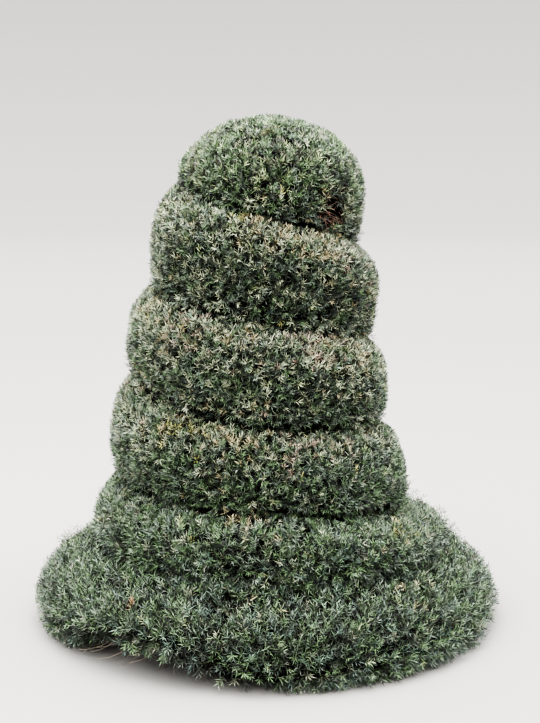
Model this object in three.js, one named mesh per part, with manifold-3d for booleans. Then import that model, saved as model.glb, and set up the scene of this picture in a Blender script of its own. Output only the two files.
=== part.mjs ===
// A clipped yew spiral, rooted in the ground.
// A trunk with short boughs carries a dome, a coil of foliage that winds down round it in a little
// over four turns, and a full skirt at the foot. Each length of foliage is a dense core that stiff
// sprays of needles stand out of.
// Millimetres, +Z up, the front towards -Y. The origin is the flat cut of the trunk at ground level.
//
// Places on the foliage are given by turn: turn 0 is the left of the dome, turn 0.25 the front,
// turn 0.5 the right and turn 0.75 the back, and the turns are counted on as the coil goes down.

import * as THREE from 'three';
import { mergeVertices } from 'three/addons/utils/BufferGeometryUtils.js';
import Module from 'manifold-3d';

const wasm = await Module();
wasm.setup();

const { clamp, lerp, smoothstep } = THREE.MathUtils;
const TAU = 2 * Math.PI;
const GOLDEN_SECTION = 0.618034;
const MERGE_DISTANCE = 1e-3;
const SQUARE_METRE = 1e6;
const RANDOM_FACTOR = 1664525;
const RANDOM_STEP = 1013904223;
const RANDOM_RANGE = 2 ** 32;
const DOME_SEED = 7;
const COIL_SEED = 100;
const SKIRT_SEED = 200;

// The plant's own axis bows to the left at half height and leans a little.
const BOW = -50;
const BOW_HEIGHT = 1560;
const LEAN = -6;
const HEIGHT = 1802;

// The groove that is clipped between the turns: its height at each quarter turn.
const GROOVE_HEIGHTS = [
  1561, 1456, 1345, 1280, 1213, 1108, 1015, 958, 900, 770, 710, 615, 520, 495, 392, 325, 254,
];
const GROOVE_TURNS = (GROOVE_HEIGHTS.length - 1) / 4;
const GROOVE_START = -0.35;
const GROOVE_START_SLOPE = 400;
const GROOVE_FADE = 0.4;
const NOTCH_RATIO = 0.86;

// The coil's fullest radius at each half turn.
const COIL_RADII = [345, 352, 406, 426, 474, 482, 530, 554, 604, 674, 645];
const COIL_TURNS = (COIL_RADII.length - 1) / 2;
const COIL_START = 0.65;
const COIL_END = 4.8;
const COIL_PIECES = 13;
const FULLEST_AT = 0.38;
const FULLEST_SINKS = 0.07;
// Below 1 an outline is squarer than an ellipse: shoulders slope, undersides tuck in sharply.
const SHOULDER_POWER = 1.05;
const UNDERSIDE_POWER = 0.72;

const DOME_RADIUS = 343;
const DOME_FULLER_RIGHT = 12;
const DOME_MIDDLE = 1500;
const DOME_POWER = 2.1;
const DOME_TUCK = 45;
const DOME_LEAST_TUCK = 8;
const DOME_PROFILE_SHARE = 0.68;
const DOME_START_GAP = 0.012;
const DOME_GAP = 0.008;
const DOME_OVERLAP = 0.01;
const DOME_OUTLINE_STEPS = 9;
const DOME_FIRST_STEP = 2;
const DOME_CROWDING = 0.6;
const PLUG_SIDES = 16;
const DOME_SPINE_RISE = 80;
const DOME_BORE = 100;
const DOME_PLUG_RADIUS = 112;
const DOME_PLUG_UNDERSIDE = 1560;

const RING_HEIGHT = 262;
const RING_RADIUS = 615;
const SKIRT_RADIUS = 838;
const SKIRT_FULLEST = 55;
const SKIRT_FOOT_RADIUS = 770;
const SKIRT_FOOT = 8;
const SKIRT_LIFT = 80;
const SKIRT_LIFT_TURN = 0.16;
const SKIRT_LIFT_WIDTH = 0.062;
const SKIRT_LIFT_SLOPE = 0.35;
const SKIRT_SPINE_AT = 0.55;
const SKIRT_NAMES = ['front_left', 'front_right', 'back_right', 'back_left'];

// Cores stay this far inside the clipped outline and the grooves, and clear of each other.
const CORE_INSET = 30;
const CORE_NOTCH_INSET = 8;
const CORE_EDGE = 8;
const END_GAP = 2;
const BARE_RATIO = 0.36;
const BARE_RADIUS = 118;
const OUTLINE_STEPS = 6;
const CORE_STEP = 0.046;

const TRUNK_TOP = 1480;
const TRUNK_RADIUS = 44;
const TRUNK_TIP_RADIUS = 9;
const TRUNK_SIDES = 14;
const FLARE = 24;
const FLARE_HEIGHT = 75;
const ROOT_RIDGES = 5;
const ROOT_RIDGE_DEPTH = 0.13;
const TRUNK_RINGS = [0, 25, 60, 110, 180, 300, 450, 600, 750, 900, 1050, 1200, 1350, TRUNK_TOP];

const JOINT_GAP = 0.3;
const BOUGH_RADIUS = 15;
const BOUGH_TIP_RADIUS = 8;
const BOUGH_SIDES = 7;
const BOUGH_SHARE_OF_TRUNK = 0.6;
const COIL_BOUGH_RISE = 45;
const SKIRT_BOUGH_RISE = 30;
const BOUGH_SAG = 9;
const STEM_REACH = 70;

const TWIG_RADIUS = 3.4;
const TWIG_TIP_RADIUS = 1.6;
const SPRAY_THICKNESS = 5;
const SPRAY_WIDTH = 0.7;
const SPRAY_LEAN = 78;
const SPRAY_LEAN_LEAST = 0.6;
const SPRAY_LEAN_MOST = 1.4;
const SPRAY_SWAY = 34;
const SPRAY_ROLL = 0.24;
const SPRAY_ROOT_DEPTH = 7;
const SPRAY_MARGIN = 3;
const SPRAY_UNEVENNESS = 0.1;
const SPRAYS_PER_SQUARE_METRE = 57;
// Half of the toothed outline of a spray, as shares of its length and width, from root to tip.
const SPRAY_TEETH = [[0.66, 0.5], [0.6, 0.14]];
const SPRAY_RIDGE_AT = 0.42;

const BARK = { color: 0x5b4535, roughness: 0.9, metalness: 0 };
const CLIPPED_NEEDLES = { color: 0x3f4d30, roughness: 0.6, metalness: 0 };
const SKIRT_NEEDLES = { color: 0x3a5742, roughness: 0.55, metalness: 0 };

// A seeded stream of numbers from 0 to 1, the same on every run.
function seededNumbers(seed) {
  let state = seed;
  return () => {
    state = (state * RANDOM_FACTOR + RANDOM_STEP) % RANDOM_RANGE;
    return state / RANDOM_RANGE;
  };
}

const grooveCurve = new THREE.SplineCurve(GROOVE_HEIGHTS.map((z, i) => new THREE.Vector2(i, z)));
const coilCurve = new THREE.SplineCurve(COIL_RADII.map((r, i) => new THREE.Vector2(i, r)));

function axisX(z) {
  return BOW * Math.sin((Math.PI * Math.min(z, BOW_HEIGHT)) / BOW_HEIGHT) + (LEAN * z) / HEIGHT;
}

// The point at this turn, this far from the bowed axis, at this height.
function place(turn, radius, z) {
  const angle = TAU * (0.5 + turn);
  return new THREE.Vector3(axisX(z) + radius * Math.cos(angle), radius * Math.sin(angle), z);
}

function grooveHeight(turn) {
  if (turn < 0) return GROOVE_HEIGHTS[0] - turn * GROOVE_START_SLOPE;
  return grooveCurve.getPoint(Math.min(turn / GROOVE_TURNS, 1)).y;
}

function coilRadius(turn) {
  return coilCurve.getPoint(clamp(turn / COIL_TURNS, 0, 1)).y;
}

function domeRadius(turn) {
  return DOME_RADIUS - DOME_FULLER_RIGHT * Math.cos(TAU * turn);
}

function domeRadiusAt(turn, z) {
  const rise = clamp((z - DOME_MIDDLE) / (HEIGHT - DOME_MIDDLE), 0, 1);
  return domeRadius(turn) * (1 - rise ** DOME_POWER) ** (1 / DOME_POWER);
}

// How far the groove has been cut to its full depth: it fades out behind the dome.
function grooveCut(turn) {
  return smoothstep(turn, GROOVE_START, GROOVE_START + GROOVE_FADE);
}

function notchRadius(turn) {
  const uncut = domeRadiusAt(turn, grooveHeight(turn));
  return lerp(uncut, NOTCH_RATIO * coilRadius(turn), grooveCut(turn));
}

// A point [radius, height] on a rounded outline, share 0 at its upper notch and 1 at its lower.
function roundedOutline(share, upper, fullest, lower) {
  const power = share < 0.5 ? SHOULDER_POWER : UNDERSIDE_POWER;
  const across = Math.sin(Math.PI * share) ** power;
  const along = Math.abs(Math.cos(Math.PI * share)) ** power;
  const notch = share < 0.5 ? upper : lower;
  return [lerp(notch[0], fullest[0], across), lerp(fullest[1], notch[1], along)];
}

function coilOutline(turn, share, inset) {
  const edge = inset * CORE_EDGE;
  const top = grooveHeight(turn - 1) - edge;
  const bottom = Math.max(grooveHeight(turn), RING_HEIGHT) + edge;
  const fullest = lerp(top, bottom, FULLEST_AT + FULLEST_SINKS * turn);
  const radius = coilRadius(turn) - inset * CORE_INSET;
  const upper = Math.min(notchRadius(turn - 1) - inset * CORE_NOTCH_INSET, radius);
  const lower = Math.min(notchRadius(turn) - inset * CORE_NOTCH_INSET, radius);
  const [across, z] = roundedOutline(share, [upper, top], [radius, fullest], [lower, bottom]);
  const uncut = domeRadiusAt(turn, z) - inset * CORE_INSET;
  return [lerp(Math.min(across, uncut), across, grooveCut(turn - 1)), z];
}

function domeOutline(turn, share, inset) {
  const bottom = grooveHeight(turn) + inset * CORE_EDGE;
  const fullest = Math.max(DOME_MIDDLE, bottom + lerp(DOME_LEAST_TUCK, DOME_TUCK, grooveCut(turn)));
  const radius = domeRadius(turn) - inset * CORE_INSET;
  const rise = HEIGHT - inset * CORE_INSET - DOME_MIDDLE;
  const lastAngle = Math.acos(((fullest - DOME_MIDDLE) / rise) ** (DOME_POWER / 2));
  const angle = lastAngle * Math.min(share / DOME_PROFILE_SHARE, 1);
  const across = radius * Math.sin(angle) ** (2 / DOME_POWER);
  const up = DOME_MIDDLE + rise * Math.cos(angle) ** (2 / DOME_POWER);
  if (share <= DOME_PROFILE_SHARE) return [across, up];
  const below = (share - DOME_PROFILE_SHARE) / (1 - DOME_PROFILE_SHARE);
  const notch = Math.min(notchRadius(turn) - inset * CORE_NOTCH_INSET, across - DOME_LEAST_TUCK);
  return roundedOutline(0.5 + below / 2, [0, 0], [across, up], [notch, bottom]);
}

// The skirt is lifted off the ground over a short stretch at the front left.
function skirtFoot(turn) {
  const away = Math.abs(turn - SKIRT_LIFT_TURN) / SKIRT_LIFT_WIDTH;
  return SKIRT_FOOT + SKIRT_LIFT * (1 - smoothstep(away, SKIRT_LIFT_SLOPE, 1));
}

function skirtOutline(turn, share, inset) {
  const foot = skirtFoot(turn) + inset * CORE_EDGE;
  const upper = [RING_RADIUS - inset * CORE_NOTCH_INSET, RING_HEIGHT - inset * CORE_EDGE];
  const fullest = [SKIRT_RADIUS - inset * CORE_INSET, foot + SKIRT_FULLEST];
  return roundedOutline(share, upper, fullest, [SKIRT_FOOT_RADIUS - inset * CORE_INSET, foot]);
}

// A closed body through rings of points, with a flat face at each end.
function bodyThrough(rings) {
  const count = rings[0].length;
  const positions = rings.flat().flatMap((point) => point.toArray());
  const index = [];
  for (let ring = 0; ring + 1 < rings.length; ring++) {
    for (let i = 0; i < count; i++) {
      const here = ring * count + i;
      const next = ring * count + ((i + 1) % count);
      index.push(here, next, next + count, here, next + count, here + count);
    }
  }
  const last = (rings.length - 1) * count;
  for (let i = 1; i + 1 < count; i++) {
    index.push(0, i + 1, i, last, last + i, last + i + 1);
  }
  const geometry = new THREE.BufferGeometry();
  geometry.setAttribute('position', new THREE.Float32BufferAttribute(positions, 3));
  geometry.setIndex(index);
  return geometry;
}

// A ring of points about a place, square to a direction.
function ringAbout(centre, direction, radius, sides) {
  const turned = new THREE.Quaternion().setFromUnitVectors(new THREE.Vector3(0, 0, 1), direction);
  return Array.from({ length: sides }, (_, i) => {
    const angle = (TAU * i) / sides;
    const spoke = new THREE.Vector3(radius * Math.cos(angle), radius * Math.sin(angle), 0);
    return spoke.applyQuaternion(turned).add(centre);
  });
}

function taperedLimb(points, startRadius, endRadius, sides) {
  const rings = points.map((point, i) => {
    const before = points[Math.max(i - 1, 0)];
    const after = points[Math.min(i + 1, points.length - 1)];
    const direction = after.clone().sub(before).normalize();
    const radius = lerp(startRadius, endRadius, i / (points.length - 1));
    return ringAbout(point, direction, radius, sides);
  });
  return bodyThrough(rings);
}

function enclosedVolume(positions, index) {
  const corner = (i) => new THREE.Vector3().fromArray(positions, 3 * index[i]);
  let volume = 0;
  for (let i = 0; i < index.length; i += 3) {
    volume += corner(i).dot(corner(i + 1).cross(corner(i + 2))) / 6;
  }
  return volume;
}

// A closed geometry as a solid that can be joined and cut, its faces turned outwards.
function toSolid(geometry) {
  geometry.deleteAttribute('normal');
  geometry.deleteAttribute('uv');
  const merged = mergeVertices(geometry, MERGE_DISTANCE);
  const vertProperties = new Float32Array(merged.attributes.position.array);
  const triVerts = new Uint32Array(merged.index.array);
  if (enclosedVolume(vertProperties, triVerts) < 0) triVerts.reverse();
  return new wasm.Manifold(new wasm.Mesh({ numProp: 3, vertProperties, triVerts }));
}

function toGeometry(solid) {
  const mesh = solid.getMesh();
  const geometry = new THREE.BufferGeometry();
  geometry.setAttribute('position', new THREE.BufferAttribute(mesh.vertProperties, 3));
  geometry.setIndex(new THREE.BufferAttribute(mesh.triVerts, 1));
  const loose = geometry.toNonIndexed();
  loose.computeVertexNormals();
  return loose;
}

// Joins bodies into one, and drops the loose scraps and sealed hollows that its mesh shows.
function fuse(geometries) {
  const joined = geometries.map(toSolid).reduce((all, solid) => all.add(solid));
  const pieces = toSolid(toGeometry(joined)).decompose();
  return pieces.reduce((largest, piece) => (piece.volume() > largest.volume() ? piece : largest));
}

function bareRadius(turn) {
  return Math.max(BARE_RADIUS, BARE_RATIO * coilRadius(turn));
}

// The dense core of a length of foliage, swept round the axis from one turn to another.
function coreBody(mass, start, end) {
  const steps = Math.max(2, Math.round((end - start) / CORE_STEP));
  const rings = [];
  for (let step = 0; step <= steps; step++) {
    const turn = lerp(start, end, step / steps);
    const section = [];
    for (let i = mass.firstOutlineStep; i <= mass.outlineSteps; i++) {
      section.push(mass.outline(turn, i / mass.outlineSteps, 1));
    }
    const inner = mass.innerRadius(turn);
    section.push([inner, section.at(-1)[1]], [inner, section[0][1]]);
    rings.push(section.map(([radius, z]) => place(turn, radius, z)));
  }
  return bodyThrough(rings);
}

// How long the clipped outline is from notch to notch.
function outlineLength(mass, turn) {
  let length = 0;
  for (let i = 0; i < OUTLINE_STEPS; i++) {
    const [radius, z] = mass.outline(turn, i / OUTLINE_STEPS, 0);
    const [nextRadius, nextZ] = mass.outline(turn, (i + 1) / OUTLINE_STEPS, 0);
    length += Math.hypot(nextRadius - radius, nextZ - z);
  }
  return length;
}

// A flat spray of needles from root to tip: a toothed outline with a low ridge on both faces.
function sprayBlade(root, tip, outward, roll) {
  const along = tip.clone().sub(root);
  const length = along.length();
  const direction = along.clone().normalize();
  const side = direction.clone().cross(outward).normalize().applyAxisAngle(direction, roll);
  const normal = direction.clone().cross(side);
  const at = (share, across, lift) =>
    root.clone()
      .addScaledVector(along, share)
      .addScaledVector(side, across * SPRAY_WIDTH * length)
      .addScaledVector(normal, lift);
  const left = SPRAY_TEETH.map(([share, across]) => at(share, across, 0));
  const right = SPRAY_TEETH.map(([share, across]) => at(share, -across, 0)).reverse();
  const edge = [root, ...left, tip, ...right];
  const ridge = edge.length;
  const points = [
    ...edge,
    at(SPRAY_RIDGE_AT, 0, SPRAY_THICKNESS / 2),
    at(SPRAY_RIDGE_AT, 0, -SPRAY_THICKNESS / 2),
  ];
  const index = edge.flatMap((_, i) => {
    const next = (i + 1) % edge.length;
    return [i, next, ridge, next, i, ridge + 1];
  });
  const geometry = new THREE.BufferGeometry();
  const positions = points.flatMap((point) => point.toArray());
  geometry.setAttribute('position', new THREE.Float32BufferAttribute(positions, 3));
  geometry.setIndex(index);
  return geometry;
}

// Whether every corner of a spray stays in the space that is the mass's own.
function keepsToItsSpace(geometry, mass) {
  const points = geometry.attributes.position;
  const point = new THREE.Vector3();
  for (let i = 0; i < points.count; i++) {
    point.fromBufferAttribute(points, i);
    const x = point.x - axisX(point.z);
    const radius = Math.hypot(x, point.y);
    const middle = (mass.start + mass.end) / 2;
    const seen = Math.atan2(point.y, x) / TAU - 0.5;
    const turn = seen + Math.round(middle - seen);
    const ends = (SPRAY_MARGIN / radius) / TAU;
    if (turn < mass.start + ends || turn > mass.end - ends) return false;
    if (point.z > mass.ceiling(turn) - SPRAY_MARGIN) return false;
    if (point.z < mass.floor(turn) + SPRAY_MARGIN) return false;
  }
  return true;
}

// One spray that leans up over the clipped face, and the twig that carries it out of the core.
function sprayOf(mass, turn, share, random) {
  const core = place(turn, ...mass.outline(turn, share, 1));
  const spine = mass.spine(turn);
  const outward = core.clone().sub(spine).normalize();
  const root = core.clone().addScaledVector(outward, -SPRAY_ROOT_DEPTH);
  const reach = SPRAY_LEAN * lerp(SPRAY_LEAN_LEAST, SPRAY_LEAN_MOST, random());
  const lean = reach / outlineLength(mass, turn);
  const sway = (SPRAY_SWAY * (2 * random() - 1)) / (TAU * mass.outline(turn, share, 0)[0]);
  const tipShare = Math.max(share - lean, 0);
  const tip = place(turn + sway, ...mass.outline(turn + sway, tipShare, 0));
  const blade = sprayBlade(root, tip, outward, SPRAY_ROLL * (2 * random() - 1));
  const twig = taperedLimb([spine, root], TWIG_RADIUS, TWIG_TIP_RADIUS, 3);
  return keepsToItsSpace(blade, mass) ? [twig, blade] : [];
}

// Sprays spread evenly over the mass by the golden section, with seeded unevenness.
function spraysOf(mass, seed) {
  const random = seededNumbers(seed);
  const middle = (mass.start + mass.end) / 2;
  const width = (mass.end - mass.start) * TAU * mass.outline(middle, 0.5, 0)[0];
  const area = (width * outlineLength(mass, middle)) / SQUARE_METRE;
  const count = Math.round(area * SPRAYS_PER_SQUARE_METRE);
  const bodies = [];
  for (let i = 0; i < count; i++) {
    const along = (i * GOLDEN_SECTION + SPRAY_UNEVENNESS * random()) % 1;
    const down = mass.shareDown((i + random()) / count);
    bodies.push(...sprayOf(mass, lerp(mass.start, mass.end, along), down, random));
  }
  return bodies;
}

function foliageMesh(name, bodies, finish) {
  const mesh = new THREE.Mesh(toGeometry(fuse(bodies)), new THREE.MeshStandardMaterial(finish));
  mesh.name = name;
  return mesh;
}

function trunkRadius(z) {
  const taper = lerp(TRUNK_RADIUS, TRUNK_TIP_RADIUS, z / TRUNK_TOP);
  return taper + FLARE * Math.exp(-z / FLARE_HEIGHT);
}

// The trunk, or a slightly grown copy of it that cuts the boughs' ends to its surface.
function trunkBody(grown) {
  const rings = TRUNK_RINGS.map((z) =>
    Array.from({ length: TRUNK_SIDES }, (_, i) => {
      const turn = i / TRUNK_SIDES;
      const depth = ROOT_RIDGE_DEPTH * Math.exp(-z / FLARE_HEIGHT);
      const ridge = 1 + depth * Math.cos(TAU * ROOT_RIDGES * turn);
      return place(turn, trunkRadius(z) * ridge + grown, z);
    }));
  return bodyThrough(rings);
}

// The bough from the trunk to a mass, and the stem of the mass that meets its tip.
function boughAndStem(mass) {
  const turn = (mass.start + mass.end) / 2;
  const spine = mass.spine(turn);
  const inner = place(turn, mass.innerRadius(turn), spine.z);
  const direction = spine.clone().sub(inner).normalize();
  const tip = inner.clone().addScaledVector(direction, -STEM_REACH / 2);
  const root = place(turn, 0, spine.z - mass.boughRise);
  const rootRadius = Math.min(BOUGH_RADIUS, BOUGH_SHARE_OF_TRUNK * trunkRadius(root.z));
  const middle = root.clone().lerp(tip, 0.5);
  middle.z -= BOUGH_SAG;
  const tipRadius = Math.min(BOUGH_TIP_RADIUS, rootRadius);
  const limb = taperedLimb([root, middle, tip], rootRadius, tipRadius, BOUGH_SIDES);
  const bough = toSolid(limb).subtract(toSolid(trunkBody(JOINT_GAP)));
  const reach = tip.clone().sub(middle).normalize();
  const stemStart = tip.clone().addScaledVector(reach, JOINT_GAP);
  const stemEnd = stemStart.clone().addScaledVector(reach, STEM_REACH);
  const stem = taperedLimb([stemStart, stemEnd], tipRadius, tipRadius, BOUGH_SIDES);
  return { bough, stem };
}

function coilMass(start, end) {
  return {
    start,
    end,
    firstOutlineStep: 0,
    outlineSteps: OUTLINE_STEPS,
    outline: coilOutline,
    innerRadius: bareRadius,
    ceiling: (turn) => grooveHeight(turn - 1),
    floor: (turn) => Math.max(grooveHeight(turn), RING_HEIGHT),
    spine: (turn) => {
      const [radius, z] = coilOutline(turn, 0.5, 1);
      return place(turn, lerp(bareRadius(turn), radius, 0.5), z);
    },
    shareDown: (down) => down,
    boughRise: COIL_BOUGH_RISE,
  };
}

function skirtMass(start, end) {
  const inner = BARE_RATIO * SKIRT_RADIUS;
  const spineRadius = (inner + SKIRT_RADIUS) / 2;
  return {
    start,
    end,
    firstOutlineStep: 0,
    outlineSteps: OUTLINE_STEPS,
    outline: skirtOutline,
    innerRadius: () => inner,
    ceiling: () => RING_HEIGHT,
    floor: (turn) => skirtFoot(turn) - SPRAY_MARGIN,
    spine: (turn) => place(turn, spineRadius, RING_HEIGHT * SKIRT_SPINE_AT),
    shareDown: (down) => down,
    boughRise: SKIRT_BOUGH_RISE,
  };
}

function domeMass() {
  return {
    start: COIL_START - 1 - DOME_START_GAP,
    end: COIL_START - DOME_GAP,
    firstOutlineStep: DOME_FIRST_STEP,
    outlineSteps: DOME_OUTLINE_STEPS,
    outline: domeOutline,
    innerRadius: () => DOME_BORE,
    ceiling: () => HEIGHT + SPRAY_MARGIN,
    floor: (turn) => grooveHeight(turn),
    spine: (turn) => place(turn, DOME_BORE, grooveHeight(turn) + DOME_SPINE_RISE),
    shareDown: (down) => down ** DOME_CROWDING,
  };
}

// The dome's two halves overlap where they meet, and a plug closes the bore round the trunk's tip.
function domeBodies(mass) {
  const middle = (mass.start + mass.end) / 2;
  const crown = [1, 0].map((step) => domeOutline(0, step / DOME_OUTLINE_STEPS, 1));
  const rim = domeOutline(0, DOME_FIRST_STEP / DOME_OUTLINE_STEPS, 1)[1];
  const profile = [[0, DOME_PLUG_UNDERSIDE], [DOME_PLUG_RADIUS, DOME_PLUG_UNDERSIDE],
    [DOME_PLUG_RADIUS, rim + JOINT_GAP], ...crown];
  const points = profile.map(([radius, z]) => new THREE.Vector2(radius, z));
  const plug = new THREE.LatheGeometry(points, PLUG_SIDES);
  plug.rotateX(Math.PI / 2);
  plug.translate(axisX(DOME_PLUG_UNDERSIDE), 0, 0);
  const tip = place(0, 0, TRUNK_TOP + JOINT_GAP);
  const stemEnd = tip.clone().setZ(DOME_PLUG_UNDERSIDE + STEM_REACH);
  return [
    coreBody(mass, mass.start, middle + DOME_OVERLAP),
    coreBody(mass, middle, mass.end),
    plug,
    taperedLimb([tip, stemEnd], TRUNK_TIP_RADIUS, TRUNK_TIP_RADIUS, BOUGH_SIDES),
  ];
}

function barkMesh(name, geometry) {
  const mesh = new THREE.Mesh(geometry, new THREE.MeshStandardMaterial(BARK));
  mesh.name = name;
  return mesh;
}

const plant = new THREE.Group();
plant.add(barkMesh('trunk', toGeometry(toSolid(trunkBody(0)))));

const dome = domeMass();
plant.add(foliageMesh('dome', [...domeBodies(dome), ...spraysOf(dome, DOME_SEED)], CLIPPED_NEEDLES));

function addMass(name, mass, seed, finish) {
  const gap = END_GAP / (TAU * coilRadius(mass.start));
  const { bough, stem } = boughAndStem(mass);
  const core = coreBody(mass, mass.start + gap, mass.end - gap);
  plant.add(barkMesh(`bough_${name}`, toGeometry(bough)));
  plant.add(foliageMesh(name, [core, stem, ...spraysOf(mass, seed)], finish));
}

for (let i = 0; i < COIL_PIECES; i++) {
  const start = lerp(COIL_START, COIL_END, i / COIL_PIECES);
  const end = lerp(COIL_START, COIL_END, (i + 1) / COIL_PIECES);
  addMass(`coil_${i + 1}`, coilMass(start, end), COIL_SEED + i, CLIPPED_NEEDLES);
}

SKIRT_NAMES.forEach((name, i) => {
  addMass(`skirt_${name}`, skirtMass(i / 4, (i + 1) / 4), SKIRT_SEED + i, SKIRT_NEEDLES);
});

export default plant;
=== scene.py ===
# %% [markdown]
# # A clipped yew spiral
#
# The solids of the plant, its trunk, boughs and masses of foliage, are already built and packed. This
# lesson loads them as a fixed frame and grows the real looks around them: bark on the wood, and twigs
# and needles in place of each plain mass. Everything is in metres, +Z up, with the front towards -Y.

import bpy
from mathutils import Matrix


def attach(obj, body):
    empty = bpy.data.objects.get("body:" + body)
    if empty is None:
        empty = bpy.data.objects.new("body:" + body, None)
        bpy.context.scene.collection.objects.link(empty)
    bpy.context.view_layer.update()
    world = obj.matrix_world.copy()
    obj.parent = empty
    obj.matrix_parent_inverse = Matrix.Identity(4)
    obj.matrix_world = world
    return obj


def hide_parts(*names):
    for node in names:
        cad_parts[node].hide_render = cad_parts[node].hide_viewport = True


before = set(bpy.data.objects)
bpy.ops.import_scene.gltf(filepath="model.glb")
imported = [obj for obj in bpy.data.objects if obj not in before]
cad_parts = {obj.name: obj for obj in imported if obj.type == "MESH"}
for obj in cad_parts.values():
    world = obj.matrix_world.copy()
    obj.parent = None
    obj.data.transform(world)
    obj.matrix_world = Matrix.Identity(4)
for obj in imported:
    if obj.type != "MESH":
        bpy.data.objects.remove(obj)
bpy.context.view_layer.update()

# %% Libraries
import math
from types import SimpleNamespace

import bpy
import numpy as np
from mathutils import Vector

# %% [markdown]
# ## The camera
#
# The photograph was taken from standing eye level, looking down a little. A camera could be turned by
# eye until the view fits, but then the plant's proportions would be in doubt. So the eye level, the tilt
# and the distance were worked out from how the ground and the rings of the plant are foreshortened. The
# picture is upright, so Blender measures the sensor along its height.

# %% Camera
EYE_LEVEL = 1.65
DISTANCE = 4.64
LOOKS_DOWN = math.radians(8.92)
FOCAL_LENGTH_PIXELS = 1300
PICTURE_HEIGHT_PIXELS = 723
SENSOR = 36

bpy.ops.object.camera_add(location=(0, -DISTANCE, EYE_LEVEL), rotation=(math.pi / 2 - LOOKS_DOWN, 0, 0))
camera = bpy.context.object
camera.name = "camera"
camera.data.sensor_width = SENSOR
camera.data.lens = FOCAL_LENGTH_PIXELS * SENSOR / PICTURE_HEIGHT_PIXELS
bpy.context.scene.camera = camera
print("lens:", round(camera.data.lens, 1), "mm")

# %% [markdown]
# ## The clipped form
#
# The plant is one cone of foliage with a groove clipped into it that winds down from left to right.
# The same values and curves drive the solids, so they are written out again here. A place on the
# foliage is given by its turn: 0 is the left of the dome, 0.25 the front, 0.5 the right and 0.75 the
# back, and the turns are counted on as the coil goes down. The other number is its share of the way
# down the outline, from the upper groove at 0 to the lower groove at 1.

# %% Driving sizes of the form
TAU = 2 * math.pi
GOLDEN_SECTION = 0.618034

BOW = -0.050
BOW_HEIGHT = 1.560
LEAN = -0.006
HEIGHT = 1.802

GROOVE_HEIGHTS = [
    1.561, 1.456, 1.345, 1.280, 1.213, 1.108, 1.015, 0.958, 0.900,
    0.770, 0.710, 0.615, 0.520, 0.495, 0.392, 0.325, 0.254,
]
GROOVE_TURNS = (len(GROOVE_HEIGHTS) - 1) / 4
GROOVE_START = -0.35
GROOVE_START_SLOPE = 0.400
GROOVE_FADE = 0.4
NOTCH_RATIO = 0.86

COIL_RADII = [0.345, 0.352, 0.406, 0.426, 0.474, 0.482, 0.530, 0.554, 0.604, 0.674, 0.645]
COIL_TURNS = (len(COIL_RADII) - 1) / 2
COIL_START = 0.65
COIL_END = 4.8
COIL_PIECES = 13
FULLEST_AT = 0.38
FULLEST_SINKS = 0.07
SHOULDER_POWER = 1.05
UNDERSIDE_POWER = 0.72

DOME_RADIUS = 0.343
DOME_FULLER_RIGHT = 0.012
DOME_MIDDLE = 1.500
DOME_POWER = 2.1
DOME_TUCK = 0.045
DOME_LEAST_TUCK = 0.008
DOME_PROFILE_SHARE = 0.68

RING_HEIGHT = 0.262
RING_RADIUS = 0.615
SKIRT_RADIUS = 0.838
SKIRT_FULLEST = 0.055
SKIRT_FOOT_RADIUS = 0.770
SKIRT_FOOT = 0.008
SKIRT_LIFT = 0.080
SKIRT_LIFT_TURN = 0.16
SKIRT_LIFT_WIDTH = 0.062
SKIRT_LIFT_SLOPE = 0.35
SKIRT_NAMES = ["front_left", "front_right", "back_right", "back_left"]

# %% Curves of the form
def lerp(a, b, share):
    return a + (b - a) * share


def smoothstep(x, low, high):
    """0 up to the low end of a range, 1 from its high end on, and a smooth change between."""
    t = np.clip((x - low) / (high - low), 0, 1)
    return t * t * (3 - 2 * t)


def spline(values, at):
    """The smooth curve through evenly spaced values, read at a place from 0 to the last index."""
    values = np.asarray(values)
    last = len(values) - 1
    at = np.clip(at, 0, last)
    i = np.minimum(np.floor(at).astype(int), last - 1)
    t = at - i
    before, here, after = values[np.maximum(i - 1, 0)], values[i], values[i + 1]
    later = values[np.minimum(i + 2, last)]
    slope_in, slope_out = (after - before) / 2, (later - here) / 2
    cubic = 2 * (here - after) + slope_in + slope_out
    square = 3 * (after - here) - 2 * slope_in - slope_out
    return ((cubic * t + square) * t + slope_in) * t + here


def axis_x(z):
    return BOW * np.sin(np.pi * np.minimum(z, BOW_HEIGHT) / BOW_HEIGHT) + LEAN * z / HEIGHT


def place(turn, radius, z):
    """Points at these turns, this far from the bowed axis, at these heights."""
    angle = TAU * (0.5 + turn)
    x = axis_x(z) + radius * np.cos(angle)
    return np.stack(np.broadcast_arrays(x, radius * np.sin(angle), z), axis=-1)


def groove_height(turn):
    above = GROOVE_HEIGHTS[0] - turn * GROOVE_START_SLOPE
    return np.where(turn < 0, above, spline(GROOVE_HEIGHTS, 4 * np.clip(turn, 0, GROOVE_TURNS)))


def coil_radius(turn):
    return spline(COIL_RADII, 2 * np.clip(turn, 0, COIL_TURNS))


def dome_radius(turn):
    return DOME_RADIUS - DOME_FULLER_RIGHT * np.cos(TAU * turn)


def dome_radius_at(turn, z):
    rise = np.clip((z - DOME_MIDDLE) / (HEIGHT - DOME_MIDDLE), 0, 1)
    return dome_radius(turn) * (1 - rise**DOME_POWER) ** (1 / DOME_POWER)


def groove_cut(turn):
    """How far the groove has been cut to its full depth: it fades out behind the dome."""
    return smoothstep(turn, GROOVE_START, GROOVE_START + GROOVE_FADE)


def notch_radius(turn):
    uncut = dome_radius_at(turn, groove_height(turn))
    return lerp(uncut, NOTCH_RATIO * coil_radius(turn), groove_cut(turn))


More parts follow.
